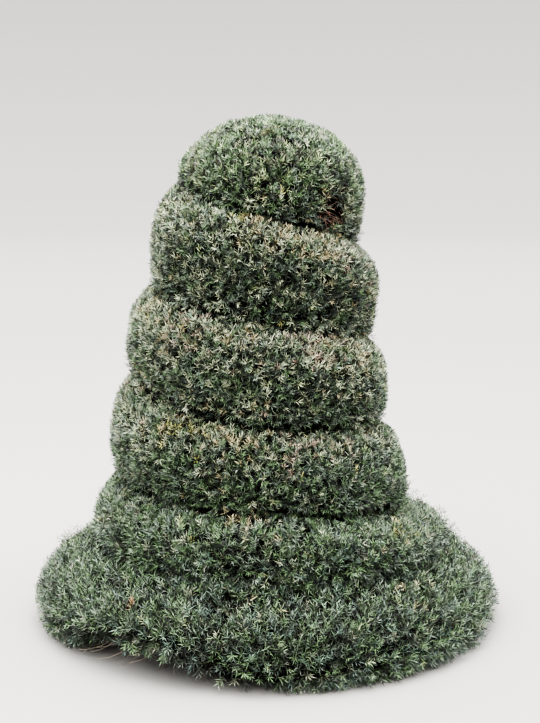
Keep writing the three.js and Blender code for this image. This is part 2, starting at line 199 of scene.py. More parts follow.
# %% Outlines of the masses
def rounded_outline(share, upper, fullest, lower):
    """Radius and height on a rounded outline between two notches, each a pair of radius and height."""
    power = np.where(share < 0.5, SHOULDER_POWER, UNDERSIDE_POWER)
    across = np.clip(np.sin(np.pi * share), 0, 1) ** power
    along = np.abs(np.cos(np.pi * share)) ** power
    notch_radius_here = np.where(share < 0.5, upper[0], lower[0])
    notch_height_here = np.where(share < 0.5, upper[1], lower[1])
    return lerp(notch_radius_here, fullest[0], across), lerp(fullest[1], notch_height_here, along)


def coil_outline(turn, share):
    top = groove_height(turn - 1)
    bottom = np.maximum(groove_height(turn), RING_HEIGHT)
    fullest = lerp(top, bottom, FULLEST_AT + FULLEST_SINKS * turn)
    radius = coil_radius(turn)
    upper = np.minimum(notch_radius(turn - 1), radius)
    lower = np.minimum(notch_radius(turn), radius)
    across, z = rounded_outline(share, (upper, top), (radius, fullest), (lower, bottom))
    under_dome = np.minimum(across, dome_radius_at(turn, z))
    return lerp(under_dome, across, groove_cut(turn - 1)), z


def dome_outline(turn, share):
    bottom = groove_height(turn)
    fullest = np.maximum(DOME_MIDDLE, bottom + lerp(DOME_LEAST_TUCK, DOME_TUCK, groove_cut(turn)))
    rise = HEIGHT - DOME_MIDDLE
    last_angle = np.arccos(((fullest - DOME_MIDDLE) / rise) ** (DOME_POWER / 2))
    angle = last_angle * np.minimum(share / DOME_PROFILE_SHARE, 1)
    across = dome_radius(turn) * np.sin(angle) ** (2 / DOME_POWER)
    up = DOME_MIDDLE + rise * np.cos(angle) ** (2 / DOME_POWER)
    below = np.clip((share - DOME_PROFILE_SHARE) / (1 - DOME_PROFILE_SHARE), 0, 1)
    notch = np.minimum(notch_radius(turn), across - DOME_LEAST_TUCK)
    tucked = rounded_outline(0.5 + below / 2, (0, 0), (across, up), (notch, bottom))
    on_profile = share <= DOME_PROFILE_SHARE
    return np.where(on_profile, across, tucked[0]), np.where(on_profile, up, tucked[1])


def skirt_foot(turn):
    away = np.abs(turn - SKIRT_LIFT_TURN) / SKIRT_LIFT_WIDTH
    return SKIRT_FOOT + SKIRT_LIFT * (1 - smoothstep(away, SKIRT_LIFT_SLOPE, 1))


def skirt_outline(turn, share):
    foot = skirt_foot(turn)
    upper = (RING_RADIUS, RING_HEIGHT)
    return rounded_outline(share, upper, (SKIRT_RADIUS, foot + SKIRT_FULLEST), (SKIRT_FOOT_RADIUS, foot))


# %% [markdown]
# ## The masses
#
# The plant is one shrub, but its foliage is built as separate masses: the dome, thirteen lengths of the
# coil and four quarters of the skirt. Each mass knows where it starts and ends and what its outline is,
# so the same steps can grow them all.

# %% List the masses
DOME_START_GAP = 0.012
DOME_END_GAP = 0.008
BARE_RATIO = 0.36
BARE_RADIUS = 0.118
DOME_BORE = 0.100


def coil_bare_radius(turn):
    return np.maximum(BARE_RADIUS, BARE_RATIO * coil_radius(turn))


def dome_bore(turn):
    return DOME_BORE + 0 * turn


def skirt_bare_radius(turn):
    return BARE_RATIO * SKIRT_RADIUS + 0 * turn


def fully_cut(turn):
    return 1 + 0 * turn


def cut_above(turn):
    return groove_cut(turn - 1)


def pieces_of(form, names):
    """Cuts a form into as many equal lengths as it has names."""
    ends = np.linspace(form.start, form.end, len(names) + 1)
    return [
        SimpleNamespace(**{**vars(form), "form": form, "node": name, "start": start, "end": end})
        for name, start, end in zip(names, ends[:-1], ends[1:])
    ]


dome = SimpleNamespace(
    start=COIL_START - 1 - DOME_START_GAP, end=COIL_START - DOME_END_GAP, outline=dome_outline,
    bare_radius=dome_bore, slot="clipped_needles", groove_above=None, groove_below=groove_cut,
)
coil = SimpleNamespace(
    start=COIL_START, end=COIL_END, outline=coil_outline, bare_radius=coil_bare_radius,
    slot="clipped_needles", groove_above=cut_above, groove_below=groove_cut,
)
skirt = SimpleNamespace(
    start=0, end=1, outline=skirt_outline, bare_radius=skirt_bare_radius,
    slot="skirt_needles", groove_above=fully_cut, groove_below=None,
)
masses = pieces_of(dome, ["dome"])
masses += pieces_of(coil, [f"coil_{number + 1}" for number in range(COIL_PIECES)])
masses += pieces_of(skirt, [f"skirt_{side}" for side in SKIRT_NAMES])
print("masses:", [mass.node for mass in masses])

# %% [markdown]
# ## Places, directions and soft noise
#
# Twigs and needles need to know which way is out of the clipped face. Two short steps on the face, one
# along the coil and one down the outline, span a small triangle, and its normal is that direction.
# Nothing on a real plant is even, so a smooth seeded noise gives the slow changes from place to place.

# %% Face, normal and noise
FACE_STEP = 0.004
FIRST_SHARE = 0.02
LAST_SHARE = 0.985
UNCUT_FIRST_SHARE = 0.20
UNCUT_LAST_SHARE = 0.64
NOISE_CELLS = 16
UP = np.array([0, 0, 1])


def unit(vectors):
    return vectors / np.maximum(np.linalg.norm(vectors, axis=-1, keepdims=True), 1e-9)


def dot(a, b):
    return (a * b).sum(-1, keepdims=True)


def turned_towards(ahead, aside, angle):
    """Directions turned by these angles from one direction towards another."""
    return np.cos(angle)[..., None] * ahead + np.sin(angle)[..., None] * aside


def face_point(mass, turn, share):
    return place(turn, *mass.outline(turn, share))


def face_directions(mass, turn, share):
    """Unit vectors out of the clipped face, up over it and along it.

    Behind the dome the groove fades out, and its two lips become one face with one direction.
    """
    first, last = FIRST_SHARE, LAST_SHARE
    if mass.groove_above:
        first = lerp(UNCUT_FIRST_SHARE, first, mass.groove_above(turn))
    if mass.groove_below:
        last = lerp(UNCUT_LAST_SHARE, last, mass.groove_below(turn))
    share = np.clip(share, first, last)
    along = face_point(mass, turn + FACE_STEP, share) - face_point(mass, turn - FACE_STEP, share)
    down = face_point(mass, turn, share + FACE_STEP) - face_point(mass, turn, share - FACE_STEP)
    out = unit(np.cross(down, along))
    return out, unit(-down), unit(along)


def smooth_noise(points, size, seed):
    """Seeded noise from -1 to 1 that changes smoothly over about this size."""
    cells = np.random.default_rng(seed).uniform(-1, 1, (NOISE_CELLS,) * 3)
    scaled = points / size
    low = np.floor(scaled).astype(int)
    t = scaled - low
    t = t * t * (3 - 2 * t)
    total = np.zeros(points.shape[:-1])
    for corner in np.ndindex(2, 2, 2):
        near = (low + corner) % NOISE_CELLS
        weight = np.prod(np.where(np.array(corner) == 1, t, 1 - t), axis=-1)
        total += weight * cells[near[..., 0], near[..., 1], near[..., 2]]
    return total


# %% [markdown]
# ## Bare and hollow places
#
# The right of the dome has a hole where the green has died back to reddish twigs. Elsewhere the face has
# small hollows between its tufts, which look almost black, and shears held by hand leave it lumpy. All
# this could be dented into a mesh, but here it is numbers that can be asked for at any point, so that
# whatever grows there can follow them. A spot is given by its mass, its turn and share there, and its
# reach.

# %% Bare spots
BARE_SPOTS = [("dome", 0.372, 0.755, 0.068)]
BARE_WITHIN = 0.55
GREEN_BEYOND = 1.15
LUMP_SIZE = 0.11
LUMP_HEIGHT = 0.006
BROAD_LUMP_SIZE = 0.24
BROAD_LUMP_HEIGHT = 0.010
HOLLOW_SIZE = 0.048
HOLLOW_BELOW = -0.50
HOLLOW_FULL = -0.80
HOLLOW_DEPTH = 0.012


def on_mass(rows, mass):
    """The rows of a list of named places that lie on this mass, without its name."""
    return [row[1:] for row in rows if row[0] == mass.node]


def away_from(mass, turn, share, points):
    """How far the points are from a place on the mass."""
    return np.linalg.norm(points - face_point(mass, np.array(turn), np.array(share)), axis=-1)


def bareness(mass, points):
    """1 in the middle of a bare spot, and 0 outside its reach."""
    bare = np.zeros(points.shape[:-1])
    for turn, share, reach in on_mass(BARE_SPOTS, mass):
        away = away_from(mass, turn, share, points)
        bare = np.maximum(bare, 1 - smoothstep(away, BARE_WITHIN * reach, GREEN_BEYOND * reach))
    return bare


def lumps_at(points):
    """How far the face stands proud of its clipped outline, or lies below it."""
    broad = BROAD_LUMP_HEIGHT * smooth_noise(points, BROAD_LUMP_SIZE, seed=8)
    return broad + LUMP_HEIGHT * smooth_noise(points, LUMP_SIZE, seed=1)


def hollowness(points):
    return 1 - smoothstep(smooth_noise(points, HOLLOW_SIZE, seed=5), HOLLOW_FULL, HOLLOW_BELOW)


# %% [markdown]
# ## Colours
#
# Each spray of a yew has one colour. Near the ground the needles are a bluish green, on the coil dark or
# greyish green, and on the dome a fresher, paler green. The shoulders that the shears and the sun reach
# first are tan, where the tips have dried. Where the face looks up the needles are more often pale and
# silvery, a painted highlight, and where it looks down or lies near the ground more often deep green,
# a painted shade. One material could mix the colours by noise, but then they would change within a
# spray. So there is a plain material for each colour, and every spray is dealt one. The needles are a
# little glossy, so each colour has a thin clear coat.

# %% Needle and twig colours
TONES = {
    # Partly the needles' own dark green, partly painted shade where the face looks down and on the low
    # skirt.
    "deep_green": "353d34",
    "grey_green": "626d61",
    "moss_green": "5c6d53",
    "fresh_green": "5a7050",
    "olive": "6e7160",
    "yellow_green": "9c9c64",
    # A pale silvery green, a painted highlight: the sheen of glossy needles, drawn on clipped faces that
    # look up.
    "highlight_green": "9aa087",
    # A pale yellow-green, a painted highlight on the dome where the face looks up.
    "pale_highlight_green": "96a27a",
    "blue_green": "485850",
    "pale_blue_green": "708474",
    "tan": "9e9577",
    "pinkish_brown": "938375",
    "dry_orange": "a98768",
    # Near-black green, a painted shade: for the first needles of each shoot, a share of the others and
    # the grooves near the dome.
    "shade_green": "141712",
}
TONE_NAMES = list(TONES)
NEEDLE_ROUGHNESS = 0.50
NEEDLE_COAT = 0.18
NEEDLE_COAT_ROUGHNESS = 0.22
TWIG_TONES = {
    "young_twig": "566140",
    "brown_twig": "4c3a2c",
    "red_twig": "9a7a6f",
    "dead_twig": "756b60",
}
TWIG_NAMES = list(TWIG_TONES)
TWIG_ROUGHNESS = 0.75


def linear(hex_colour):
    """A colour written as six hex digits, as the light values that a shader expects."""
    channels = [int(hex_colour[i:i + 2], 16) / 255 for i in (0, 2, 4)]
    return tuple(c / 12.92 if c <= 0.04045 else ((c + 0.055) / 1.055) ** 2.4 for c in channels) + (1,)


def fill_inputs(tree, node, inputs):
    """Gives each named input of a node its value, or a link where the value is another's output."""
    for name, value in inputs.items():
        if isinstance(value, bpy.types.NodeSocket):
            tree.links.new(value, node.inputs[name])
        else:
            node.inputs[name].default_value = value


def new_material(name):
    """A new material, its node tree and its shader."""
    material = bpy.data.materials.new(name)
    material.use_nodes = True
    return material, material.node_tree, material.node_tree.nodes["Principled BSDF"]


def plain_material(name, hex_colour, roughness, coat=0.0):
    material, tree, shader = new_material(name)
    fill_inputs(tree, shader, {
        "Base Color": linear(hex_colour),
        "Roughness": roughness,
        "Coat Weight": coat,
        "Coat Roughness": NEEDLE_COAT_ROUGHNESS,
    })
    return material


needle_materials = [
    plain_material(f"needles_{name}", TONES[name], NEEDLE_ROUGHNESS, NEEDLE_COAT) for name in TONES
]
twig_materials = [plain_material(name, TWIG_TONES[name], TWIG_ROUGHNESS) for name in TWIG_TONES]
print("needle colours:", len(needle_materials), "twig colours:", len(twig_materials))

# %% [markdown]
# ## Bark, and the twigs inside
#
# Yew bark peels in thin upright flakes, and the bare twigs inside the plant are just as fibrous. The
# streaks could be painted, but noise that is stretched along the wood needs no picture. Both finishes
# come from that one effect, so it is one node group, which each material uses with its own colours and
# scale. The twigs inside are given near-black colours, a painted shade for the dark deep in the plant.

# %% Fibre effect
FIBRE_INPUTS = {
    "Scale": "Vector", "Dark": "Color", "Middle": "Color", "Light": "Color", "Relief": "Float",
}
FIBRE_OUTPUTS = {"Colour": "Color", "Roughness": "Float", "Normal": "Vector"}


def add_node(tree, kind, inputs=None, **settings):
    """The outputs of a new node with these settings, whose named inputs are filled."""
    node = tree.nodes.new(kind)
    for name, value in settings.items():
        setattr(node, name, value)
    fill_inputs(tree, node, inputs or {})
    return node.outputs


def fibre_group():
    group = bpy.data.node_groups.new("fibres", "ShaderNodeTree")
    for in_out, sockets in (("INPUT", FIBRE_INPUTS), ("OUTPUT", FIBRE_OUTPUTS)):
        for name, kind in sockets.items():
            group.interface.new_socket(name, in_out=in_out, socket_type=f"NodeSocket{kind}")

    given = add_node(group, "NodeGroupInput")
    position = add_node(group, "ShaderNodeTexCoord")["Object"]
    stretched = add_node(group, "ShaderNodeVectorMath", {
        0: position, 1: given["Scale"],
    }, operation="MULTIPLY")["Vector"]
    streaks = add_node(group, "ShaderNodeTexNoise", {
        "Vector": stretched, "Scale": 1.0, "Detail": 6.0, "Distortion": 0.8,
    })["Fac"]
    patches = add_node(group, "ShaderNodeTexNoise", {"Vector": position, "Scale": 14.0})["Fac"]
    raised = add_node(group, "ShaderNodeMapRange", {
        "Value": streaks, "From Min": 0.38, "From Max": 0.56,
    })["Result"]
    weathered = add_node(group, "ShaderNodeMapRange", {
        "Value": patches, "From Min": 0.45, "From Max": 0.70,
    })["Result"]

    face = add_node(group, "ShaderNodeMix", {
        "Factor": weathered, "A": given["Middle"], "B": given["Light"],
    }, data_type="RGBA")["Result"]
    colour = add_node(group, "ShaderNodeMix", {
        "Factor": raised, "A": given["Dark"], "B": face,
    }, data_type="RGBA")["Result"]
    dull = add_node(group, "ShaderNodeMapRange", {"Value": raised, "To Min": 0.95, "To Max": 0.70})
    bump = add_node(group, "ShaderNodeBump", {
        "Strength": given["Relief"], "Height": streaks, "Distance": 0.002,
    })
    add_node(group, "NodeGroupOutput", {
        "Colour": colour, "Roughness": dull["Result"], "Normal": bump["Normal"],
    })
    return group


# %% Bark and thicket materials
def fibre_material(name, scale, dark, middle, light, relief, specular=0.5):
    material, tree, shader = new_material(name)
    effect = add_node(tree, "ShaderNodeGroup", {
        "Scale": scale,
        "Dark": linear(dark),
        "Middle": linear(middle),
        "Light": linear(light),
        "Relief": relief,
    }, node_tree=fibres)
    fill_inputs(tree, shader, {
        "Base Color": effect["Colour"],
        "Roughness": effect["Roughness"],
        "Normal": effect["Normal"],
        "Specular IOR Level": specular,
    })
    return material


fibres = fibre_group()
bark = fibre_material("bark", (150, 150, 22), "2b1c14", "5b4535", "8c6650", relief=0.8)
# The thicket's near-black colours are painted shade, the darkness deep in the plant, not the twigs' own
# brown.
thicket_shade = fibre_material(
    "thicket_shade", (90, 90, 60), "030302", "090a06", "17120c", relief=1.0, specular=0.1,
)
print("fibre effect nodes:", len(fibres.nodes))

# %% [markdown]
# ## Trunk and boughs
#
# A limb starts as one circle at its foot. It is extruded a short step along the limb and resized, again
# and again, as a limb puts on its length. That keeps its true taper and bow, and gives enough points on
# its skin to carve real bark into. The flakes are soft noise, stretched along the limb and sharpened
# into ridges, and the skin is moved in and out by it.

# %% Limb helpers
FLAKE_STRETCH = 0.84
FLAKE_SIZE = 0.011
FLAKE_SHARE = 0.75
SMOOTH_ANGLE = math.radians(50)


def deselect_all():
    bpy.ops.object.select_all(action="DESELECT")


def extruded_limb(name, path, radii, sides, direction):
    """A limb made as by hand: a circle at its foot, extruded and resized ring by ring to its tip."""
    deselect_all()
    bpy.ops.mesh.primitive_circle_add(
        vertices=sides, radius=radii[0], fill_type="NGON", location=path[0],
        rotation=Vector(direction).to_track_quat("Z", "Y").to_euler(),
    )
    limb = bpy.context.object
    limb.name = name
    limb.data.name = name
    bpy.ops.object.transform_apply(location=True, rotation=True, scale=True)
    bpy.ops.object.mode_set(mode="EDIT")
    bpy.ops.mesh.select_all(action="SELECT")
    for here, there, thick, thin in zip(path[:-1], path[1:], radii[:-1], radii[1:]):
        bpy.ops.mesh.extrude_region_move(TRANSFORM_OT_translate={"value": tuple(there - here)})
        bpy.ops.transform.resize(value=(thin / thick,) * 3, center_override=tuple(there))
    bpy.ops.mesh.select_all(action="SELECT")
    bpy.ops.mesh.normals_make_consistent(inside=False)
    bpy.ops.object.mode_set(mode="OBJECT")
    return limb


def read_points(piece, what="co"):
    values = np.empty(3 * len(piece.data.vertices), np.float32)
    piece.data.vertices.foreach_get(what, values)
    return values.reshape(-1, 3).astype(float)


def carve_bark(limb, direction, depth, ridges=None):
    """Moves the skin of a limb in and out, never along it, by flakes and by the ridges of its roots."""
    points = read_points(limb)
    sideways = unit(read_points(limb, "normal"))
    sideways -= dot(sideways, direction) * direction
    stretched = points - FLAKE_STRETCH * dot(points, direction) * direction
    flakes = 1 - 2 * np.abs(smooth_noise(stretched, FLAKE_SIZE, seed=6))
    fine = smooth_noise(stretched, FLAKE_SIZE / 3, seed=7)
    relief = depth * (FLAKE_SHARE * flakes + (1 - FLAKE_SHARE) * fine)
    if ridges is not None:
        relief += ridges(points)
    points += relief[:, None] * sideways
    limb.data.vertices.foreach_set("co", points.astype(np.float32).ravel())
    limb.data.update()


def finish_limb(limb, node):
    limb.data.materials.append(bark)
    deselect_all()
    limb.select_set(True)
    bpy.context.view_layer.objects.active = limb
    bpy.ops.object.shade_smooth_by_angle(angle=SMOOTH_ANGLE)
    finish_piece(limb, node)
    print(limb.name, "faces", len(limb.data.polygons))


def finish_piece(piece, node):
    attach(piece, "root")
    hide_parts(node)


# %% Grow the trunk
TRUNK_TOP = 1.480
TRUNK_RADIUS = 0.044
TRUNK_TIP_RADIUS = 0.009
FLARE = 0.024
FLARE_HEIGHT = 0.075
ROOT_RIDGES = 5
ROOT_RIDGE_DEPTH = 0.13
TRUNK_SIDES = 80
TRUNK_RINGS = 160
TRUNK_BARK_DEPTH = 0.0018


def trunk_radius(z):
    return lerp(TRUNK_RADIUS, TRUNK_TIP_RADIUS, z / TRUNK_TOP) + FLARE * np.exp(-z / FLARE_HEIGHT)


def root_ridges(points):
    """The flare is ridged where the roots run out of it, and the ridges fade out up the trunk."""
    x, y, z = points.T
    fade = ROOT_RIDGE_DEPTH * np.exp(-z / FLARE_HEIGHT)
    around = np.arctan2(y, x - axis_x(z))
    return -trunk_radius(z) * fade * np.cos(ROOT_RIDGES * around)


heights = np.linspace(0, TRUNK_TOP, TRUNK_RINGS + 1)
trunk_path = place(0, 0, heights)
trunk = extruded_limb("bark_trunk", trunk_path, trunk_radius(heights), TRUNK_SIDES, UP)
carve_bark(trunk, UP, TRUNK_BARK_DEPTH, root_ridges)
finish_limb(trunk, "trunk")

# %% Grow the boughs
BOUGH_RADIUS = 0.015
BOUGH_TIP_RADIUS = 0.008
BOUGH_SHARE_OF_TRUNK = 0.6
COIL_BOUGH_RISE = 0.045
SKIRT_BOUGH_RISE = 0.030
BOUGH_SAG = 0.009
BOUGH_ENTERS = 0.035
SKIRT_SPINE_AT = 0.55
BOUGH_SIDES = 26
BOUGH_RINGS = 40
BOUGH_BARK_DEPTH = 0.0008


def spine_point(mass, turn):
    """The middle of a mass's section, which its bough heads for."""
    if mass.outline is skirt_outline:
        return place(turn, (1 + BARE_RATIO) / 2 * SKIRT_RADIUS, SKIRT_SPINE_AT * RING_HEIGHT)
    radius, z = coil_outline(turn, np.array(0.5))
    return place(turn, lerp(coil_bare_radius(turn), radius, 0.5), z)


def bough_path(mass):
    """The middle line of a mass's bough, from the trunk to where it enters the foliage."""
    turn = (mass.start + mass.end) / 2
    spine = spine_point(mass, turn)
    inner = place(turn, mass.bare_radius(turn), spine[2])
    tip = inner - BOUGH_ENTERS * unit(spine - inner)
    rise = SKIRT_BOUGH_RISE if mass.outline is skirt_outline else COIL_BOUGH_RISE
    root = place(turn, 0, spine[2] - rise)
    share = np.linspace(0, 1, BOUGH_RINGS + 1)[:, None]
    sag = 2 * BOUGH_SAG * np.minimum(share, 1 - share)
    return lerp(root, tip, share) - sag * UP


for mass in masses[1:]:
    path = bough_path(mass)
    foot_radius = min(BOUGH_RADIUS, BOUGH_SHARE_OF_TRUNK * trunk_radius(path[0, 2]))
    tip_radius = min(BOUGH_TIP_RADIUS, foot_radius)
    radii = np.linspace(foot_radius, tip_radius, BOUGH_RINGS + 1)
    direction = unit(path[-1] - path[0])
    bough = extruded_limb(f"bark_bough_{mass.node}", path, radii, BOUGH_SIDES, direction)
    carve_bark(bough, direction, BOUGH_BARK_DEPTH)
    finish_limb(bough, f"bough_{mass.node}")

# %% [markdown]
# ## A mesh from arrays
#
# Hundreds of thousands of needles are too many to add one by one. Their corners are worked out
# together as arrays, and one call writes them into a mesh.

# %% Mesh helper
def joined_piece(name, points, triangles, tones, materials):
    mesh = bpy.data.meshes.new(name)
    mesh.vertices.add(len(points))
    mesh.vertices.foreach_set("co", np.asarray(points, np.float32).ravel())
    mesh.loops.add(3 * len(triangles))
    mesh.loops.foreach_set("vertex_index", np.asarray(triangles, np.int32).ravel())
    mesh.polygons.add(len(triangles))
    mesh.polygons.foreach_set("loop_start", np.arange(0, 3 * len(triangles), 3, dtype=np.int32))
    for material in materials:
        mesh.materials.append(material)
    mesh.polygons.foreach_set("material_index", np.asarray(tones, np.int32))
    mesh.update(calc_edges=True)
    mesh.shade_flat()
    piece = bpy.data.objects.new(name, mesh)
    bpy.context.scene.collection.objects.link(piece)
    return piece


# %% [markdown]
# ## Where the tufts grow
#
# A clipped yew branches again and again just under the shears, so its face is made of tufts, each with
# a handful of shoots. Tufts scattered at random would leave clumps and bald stripes. So many places are
# tried by the golden section, as for the sprays of the solids, and are evened out by the area of the
# face. Then tufts are set one by one, each at the place that is farthest from all the tufts so far. Low
# on the plant they stand farther apart, and deep in the groove a little closer.

# %% Spread the tufts
TUFT_SPACING = 0.0375
LOOSE_SPACING = 0.0430
GROOVE_SPACING = 0.0360
GROOVE_WIDTH = 0.12
PLACES_PER_TUFT = 6
SPREAD_STEPS = 60
SPREAD_SEED = 5
LOOSE_BELOW = 0.10
CLIPPED_ABOVE = 0.50
RIM_RANGE = (0.45, 0.70)
LIP_RANGE = (0.70, 0.90)
TOP_RANGE = (1.30, 1.50)


def looseness(z):
    """0 where the face is clipped close, 1 where the shoots near the ground are left to grow."""
    return 1 - smoothstep(z, LOOSE_BELOW, CLIPPED_ABOVE)


def in_groove(form, turn, share, width):
    """1 at the bottom of a groove, 0 out on the face and where the groove isn't cut."""
    inside = 0 * turn * share
    if form.groove_above:
        inside = np.maximum(inside, form.groove_above(turn) * (1 - smoothstep(share, 0, width)))
    if form.groove_below:
        inside = np.maximum(inside, form.groove_below(turn) * (1 - smoothstep(1 - share, 0, width)))
    return inside


def on_rim(form, share):
    """1 on the free lower rim of the skirt, 0 elsewhere."""
    return smoothstep(share, *RIM_RANGE) if form.outline is skirt_outline else 0 * share


def on_lip(form, turn, share, z):
    """1 on the lower lip of the coil, whose shoots hang over the groove below, 0 elsewhere."""
    if form.outline is not coil_outline:
        return 0 * share
    return form.groove_below(turn) * smoothstep(share, *LIP_RANGE) * (1 - smoothstep(z, *TOP_RANGE))


def spacing_at(form, turn, share, z):
    on_face = lerp(TUFT_SPACING, LOOSE_SPACING, looseness(z))
    return lerp(on_face, GROOVE_SPACING, in_groove(form, turn, share, GROOVE_WIDTH))


def places_to_try(form):
    """Turns and shares by the golden section, even over the area of the form, and the tufts it needs."""
    turns = np.linspace(form.start, form.end, round(SPREAD_STEPS * (form.end - form.start)) + 1)
    shares = np.linspace(0, 1, SPREAD_STEPS + 1)
    grid = face_point(form, turns[:, None], shares[None, :])
    along = grid[1:, :-1] - grid[:-1, :-1]
    down = grid[:-1, 1:] - grid[:-1, :-1]
    spacing = spacing_at(form, turns[1:, None], shares[None, 1:], grid[1:, 1:, 2])
    tufts = np.linalg.norm(np.cross(along, down), axis=-1) / spacing**2
    wanted = round(tufts.sum())
    order = np.arange(PLACES_PER_TUFT * wanted)
    random = np.random.default_rng(SPREAD_SEED)
    along_share = (order * GOLDEN_SECTION) % 1
    down_share = (order + random.random(len(order))) / len(order)
    reached = np.concatenate([[0], np.cumsum(tufts.sum(axis=1))]) / tufts.sum()
    turn = np.interp(along_share, reached, turns)
    row = np.searchsorted(turns, turn, side="right").clip(1, len(turns) - 1) - 1
    share = np.empty(len(order))
    for i in range(len(turns) - 1):
        reached = np.concatenate([[0], np.cumsum(tufts[i])]) / tufts[i].sum()
        share[row == i] = np.interp(down_share[row == i], reached, shares)
    return turn, share, wanted


def spread(form):
    """Turns and shares of the form's tufts, each as far as can be from those before it."""
    turn, share, wanted = places_to_try(form)
    points = face_point(form, turn, share)
    spacing = spacing_at(form, turn, share, points[:, 2])
    clear = np.full(len(points), np.inf)
    chosen = np.zeros(wanted, int)
    for i in range(1, wanted):
        away = np.linalg.norm(points - points[chosen[i - 1]], axis=1)
        clear = np.minimum(clear, away / spacing)
        chosen[i] = clear.argmax()
    return turn[chosen], share[chosen]


for form in (dome, coil, skirt):
    form.tufts = spread(form)
    print("tufts:", len(form.tufts[0]))


# %% [markdown]
# ## Shoots
#
# Each tuft sits a little under the clipped face and opens like a hand. Its shoots lean outwards and
# upwards, to the light, and stop just short of the face, where the shears pass. Low on the plant the
# shears are used less, so the shoots there are longer and stand proud, and a few stray further. At the
# skirt's rim they hang down, with small gaps between them. At the coil's lower lip they hang over the
# groove, and others fill the groove unevenly. A hair system could grow shoots too, but each one here
# needs to know how far it is from the clipped face, so they are worked out together as arrays.

# %% Place the tufts of a mass
TUFT_DEPTH = 0.034
LOOSE_TUFT_DEPTH = 0.044
TUFT_UNEVENNESS = 0.012
LOOSE_TUFT_UNEVENNESS = 0.024
GROOVE_TUFT_SINKS = 0.5
THICKET_GROOVE_WIDTH = 0.16
RIM_GAP_SIZE = 0.085
RIM_GAP_RANGE = (-0.1, 0.4)
RIM_GAP_DEPTH = 0.050
RIM_BARE_BELOW = 0.60


def place_tufts(mass, random):
    """The tufts that live on this mass, how far the face stands proud there and how deep they sit."""
    turn, share = mass.form.tufts
    face = face_point(mass, turn, share)
    gaps = on_rim(mass, share) * smoothstep(smooth_noise(face, RIM_GAP_SIZE, seed=9), *RIM_GAP_RANGE)
    living = (bareness(mass, face) < 0.5) & ((share < RIM_BARE_BELOW) | (gaps < 0.5))
    here = living & (turn >= mass.start) & (turn < mass.end)
    turn, share, face, gaps = turn[here], share[here], face[here], gaps[here]
    out, up, along = face_directions(mass, turn, share)
    loose = looseness(face[:, 2])
    uneven = lerp(TUFT_UNEVENNESS, LOOSE_TUFT_UNEVENNESS, loose) * random.random(len(face))
    level = lumps_at(face) - uneven - HOLLOW_DEPTH * hollowness(face) - RIM_GAP_DEPTH * gaps
    sunk = lerp(1, GROOVE_TUFT_SINKS, in_groove(mass, turn, share, THICKET_GROOVE_WIDTH))
    depth = lerp(TUFT_DEPTH, LOOSE_TUFT_DEPTH, loose) * sunk - level
    return SimpleNamespace(
        turn=turn, share=share, face=face, out=out, up=up, along=along, loose=loose, level=level,
        depth=depth, heart=face - depth[:, None] * out, rim=on_rim(mass, share),
        lip=on_lip(mass, turn, share, face[:, 2]),
    )


# %% Point the shoots
SHOOTS_PER_TUFT = 5
OPENS_FROM = math.radians(8)
OPENS_TO = math.radians(58)
SHOOT_UPWARD = 0.28
RIM_UPWARD = -0.45
LIP_UPWARD = -0.40


def shoot_directions(tufts, random):
    step = np.arange(SHOOTS_PER_TUFT)
    around = TAU * (step * GOLDEN_SECTION + random.random((len(tufts.face), 1)))
    opens = lerp(OPENS_FROM, OPENS_TO, (step + random.random(around.shape)) / SHOOTS_PER_TUFT)
    sideways = turned_towards(tufts.up[:, None], tufts.along[:, None], around)
    direction = turned_towards(tufts.out[:, None], sideways, opens)
    upward = lerp(lerp(SHOOT_UPWARD, RIM_UPWARD, tufts.rim), LIP_UPWARD, tufts.lip)
    return unit(direction + upward[:, None, None] * UP)


# %% Fill the grooves and name the strays
GROOVE_FILL = 0.044
LOW_GROOVE_FILL = 0.058
LOW_GROOVE_RANGE = (0.50, 0.80)
TOP_GROOVE_FILL = -0.006
GROOVE_FILL_WIDTH = 0.15
GROOVE_FILL_SIZE = 0.07
GROOVE_FILL_RANGE = (-0.8, 0.2)
STRAY_SHOOTS = [
    ("skirt_back_left", 0.994, 0.16, 0.028),
    ("skirt_back_left", 0.975, 0.24, 0.022),
    ("skirt_front_left", 0.020, 0.10, 0.025),
    ("skirt_back_right", 0.560, 0.30, 0.030),
]


def groove_fill(mass, tufts):
    """How far past the face the shoots in a groove grow, which changes from place to place."""
    z = tufts.face[:, 2]
    patchy = smoothstep(smooth_noise(tufts.face, GROOVE_FILL_SIZE, seed=10), *GROOVE_FILL_RANGE)
    fill = lerp(LOW_GROOVE_FILL, GROOVE_FILL, smoothstep(z, *LOW_GROOVE_RANGE))
    fill = lerp(fill, TOP_GROOVE_FILL, smoothstep(z, *TOP_RANGE))
    return fill * patchy * in_groove(mass, tufts.turn, tufts.share, GROOVE_FILL_WIDTH)


def stray_lengths(mass, face):
    """How much longer than their neighbours the shoots of each tuft are: 0 but for the named strays."""
    longer = np.zeros(len(face))
    for turn, share, length in on_mass(STRAY_SHOOTS, mass):
        longer[away_from(mass, turn, share, face).argmin()] = length
    return longer


# %% Grow the shoots
SHOOT_BEND = 0.20
SHORTEST_SHOOT = 0.018
LONGEST_SHOOT = 0.070
SHORT_OF_FACE = 0.008
LEAST_FILL_SHARE = 0.3
LOOSE_OVERSHOOT = 0.010
RIM_OVERSHOOT = 0.014
LIP_OVERSHOOT = 0.016
STRAY_SHARE = 0.02
STRAY_LENGTH = 0.020
FLATTEST_SLOPE = 0.45
FURTHEST_SHOOT = 0.014
FURTHEST_NEEDLE = 0.014
CUT_ABOVE_FACE = 0.005
LOOSE_NEEDLE_LENGTH = 0.025
LEAST_CLEARANCE = 0.004


def from_axis(points):
    return np.hypot(points[..., 0] - axis_x(points[..., 2]), points[..., 1])


def widest_radius(mass):
    """Only a named stray grows far past the widest part of the skirt, from its underside too."""
    return SKIRT_RADIUS if mass.outline is skirt_outline else np.inf


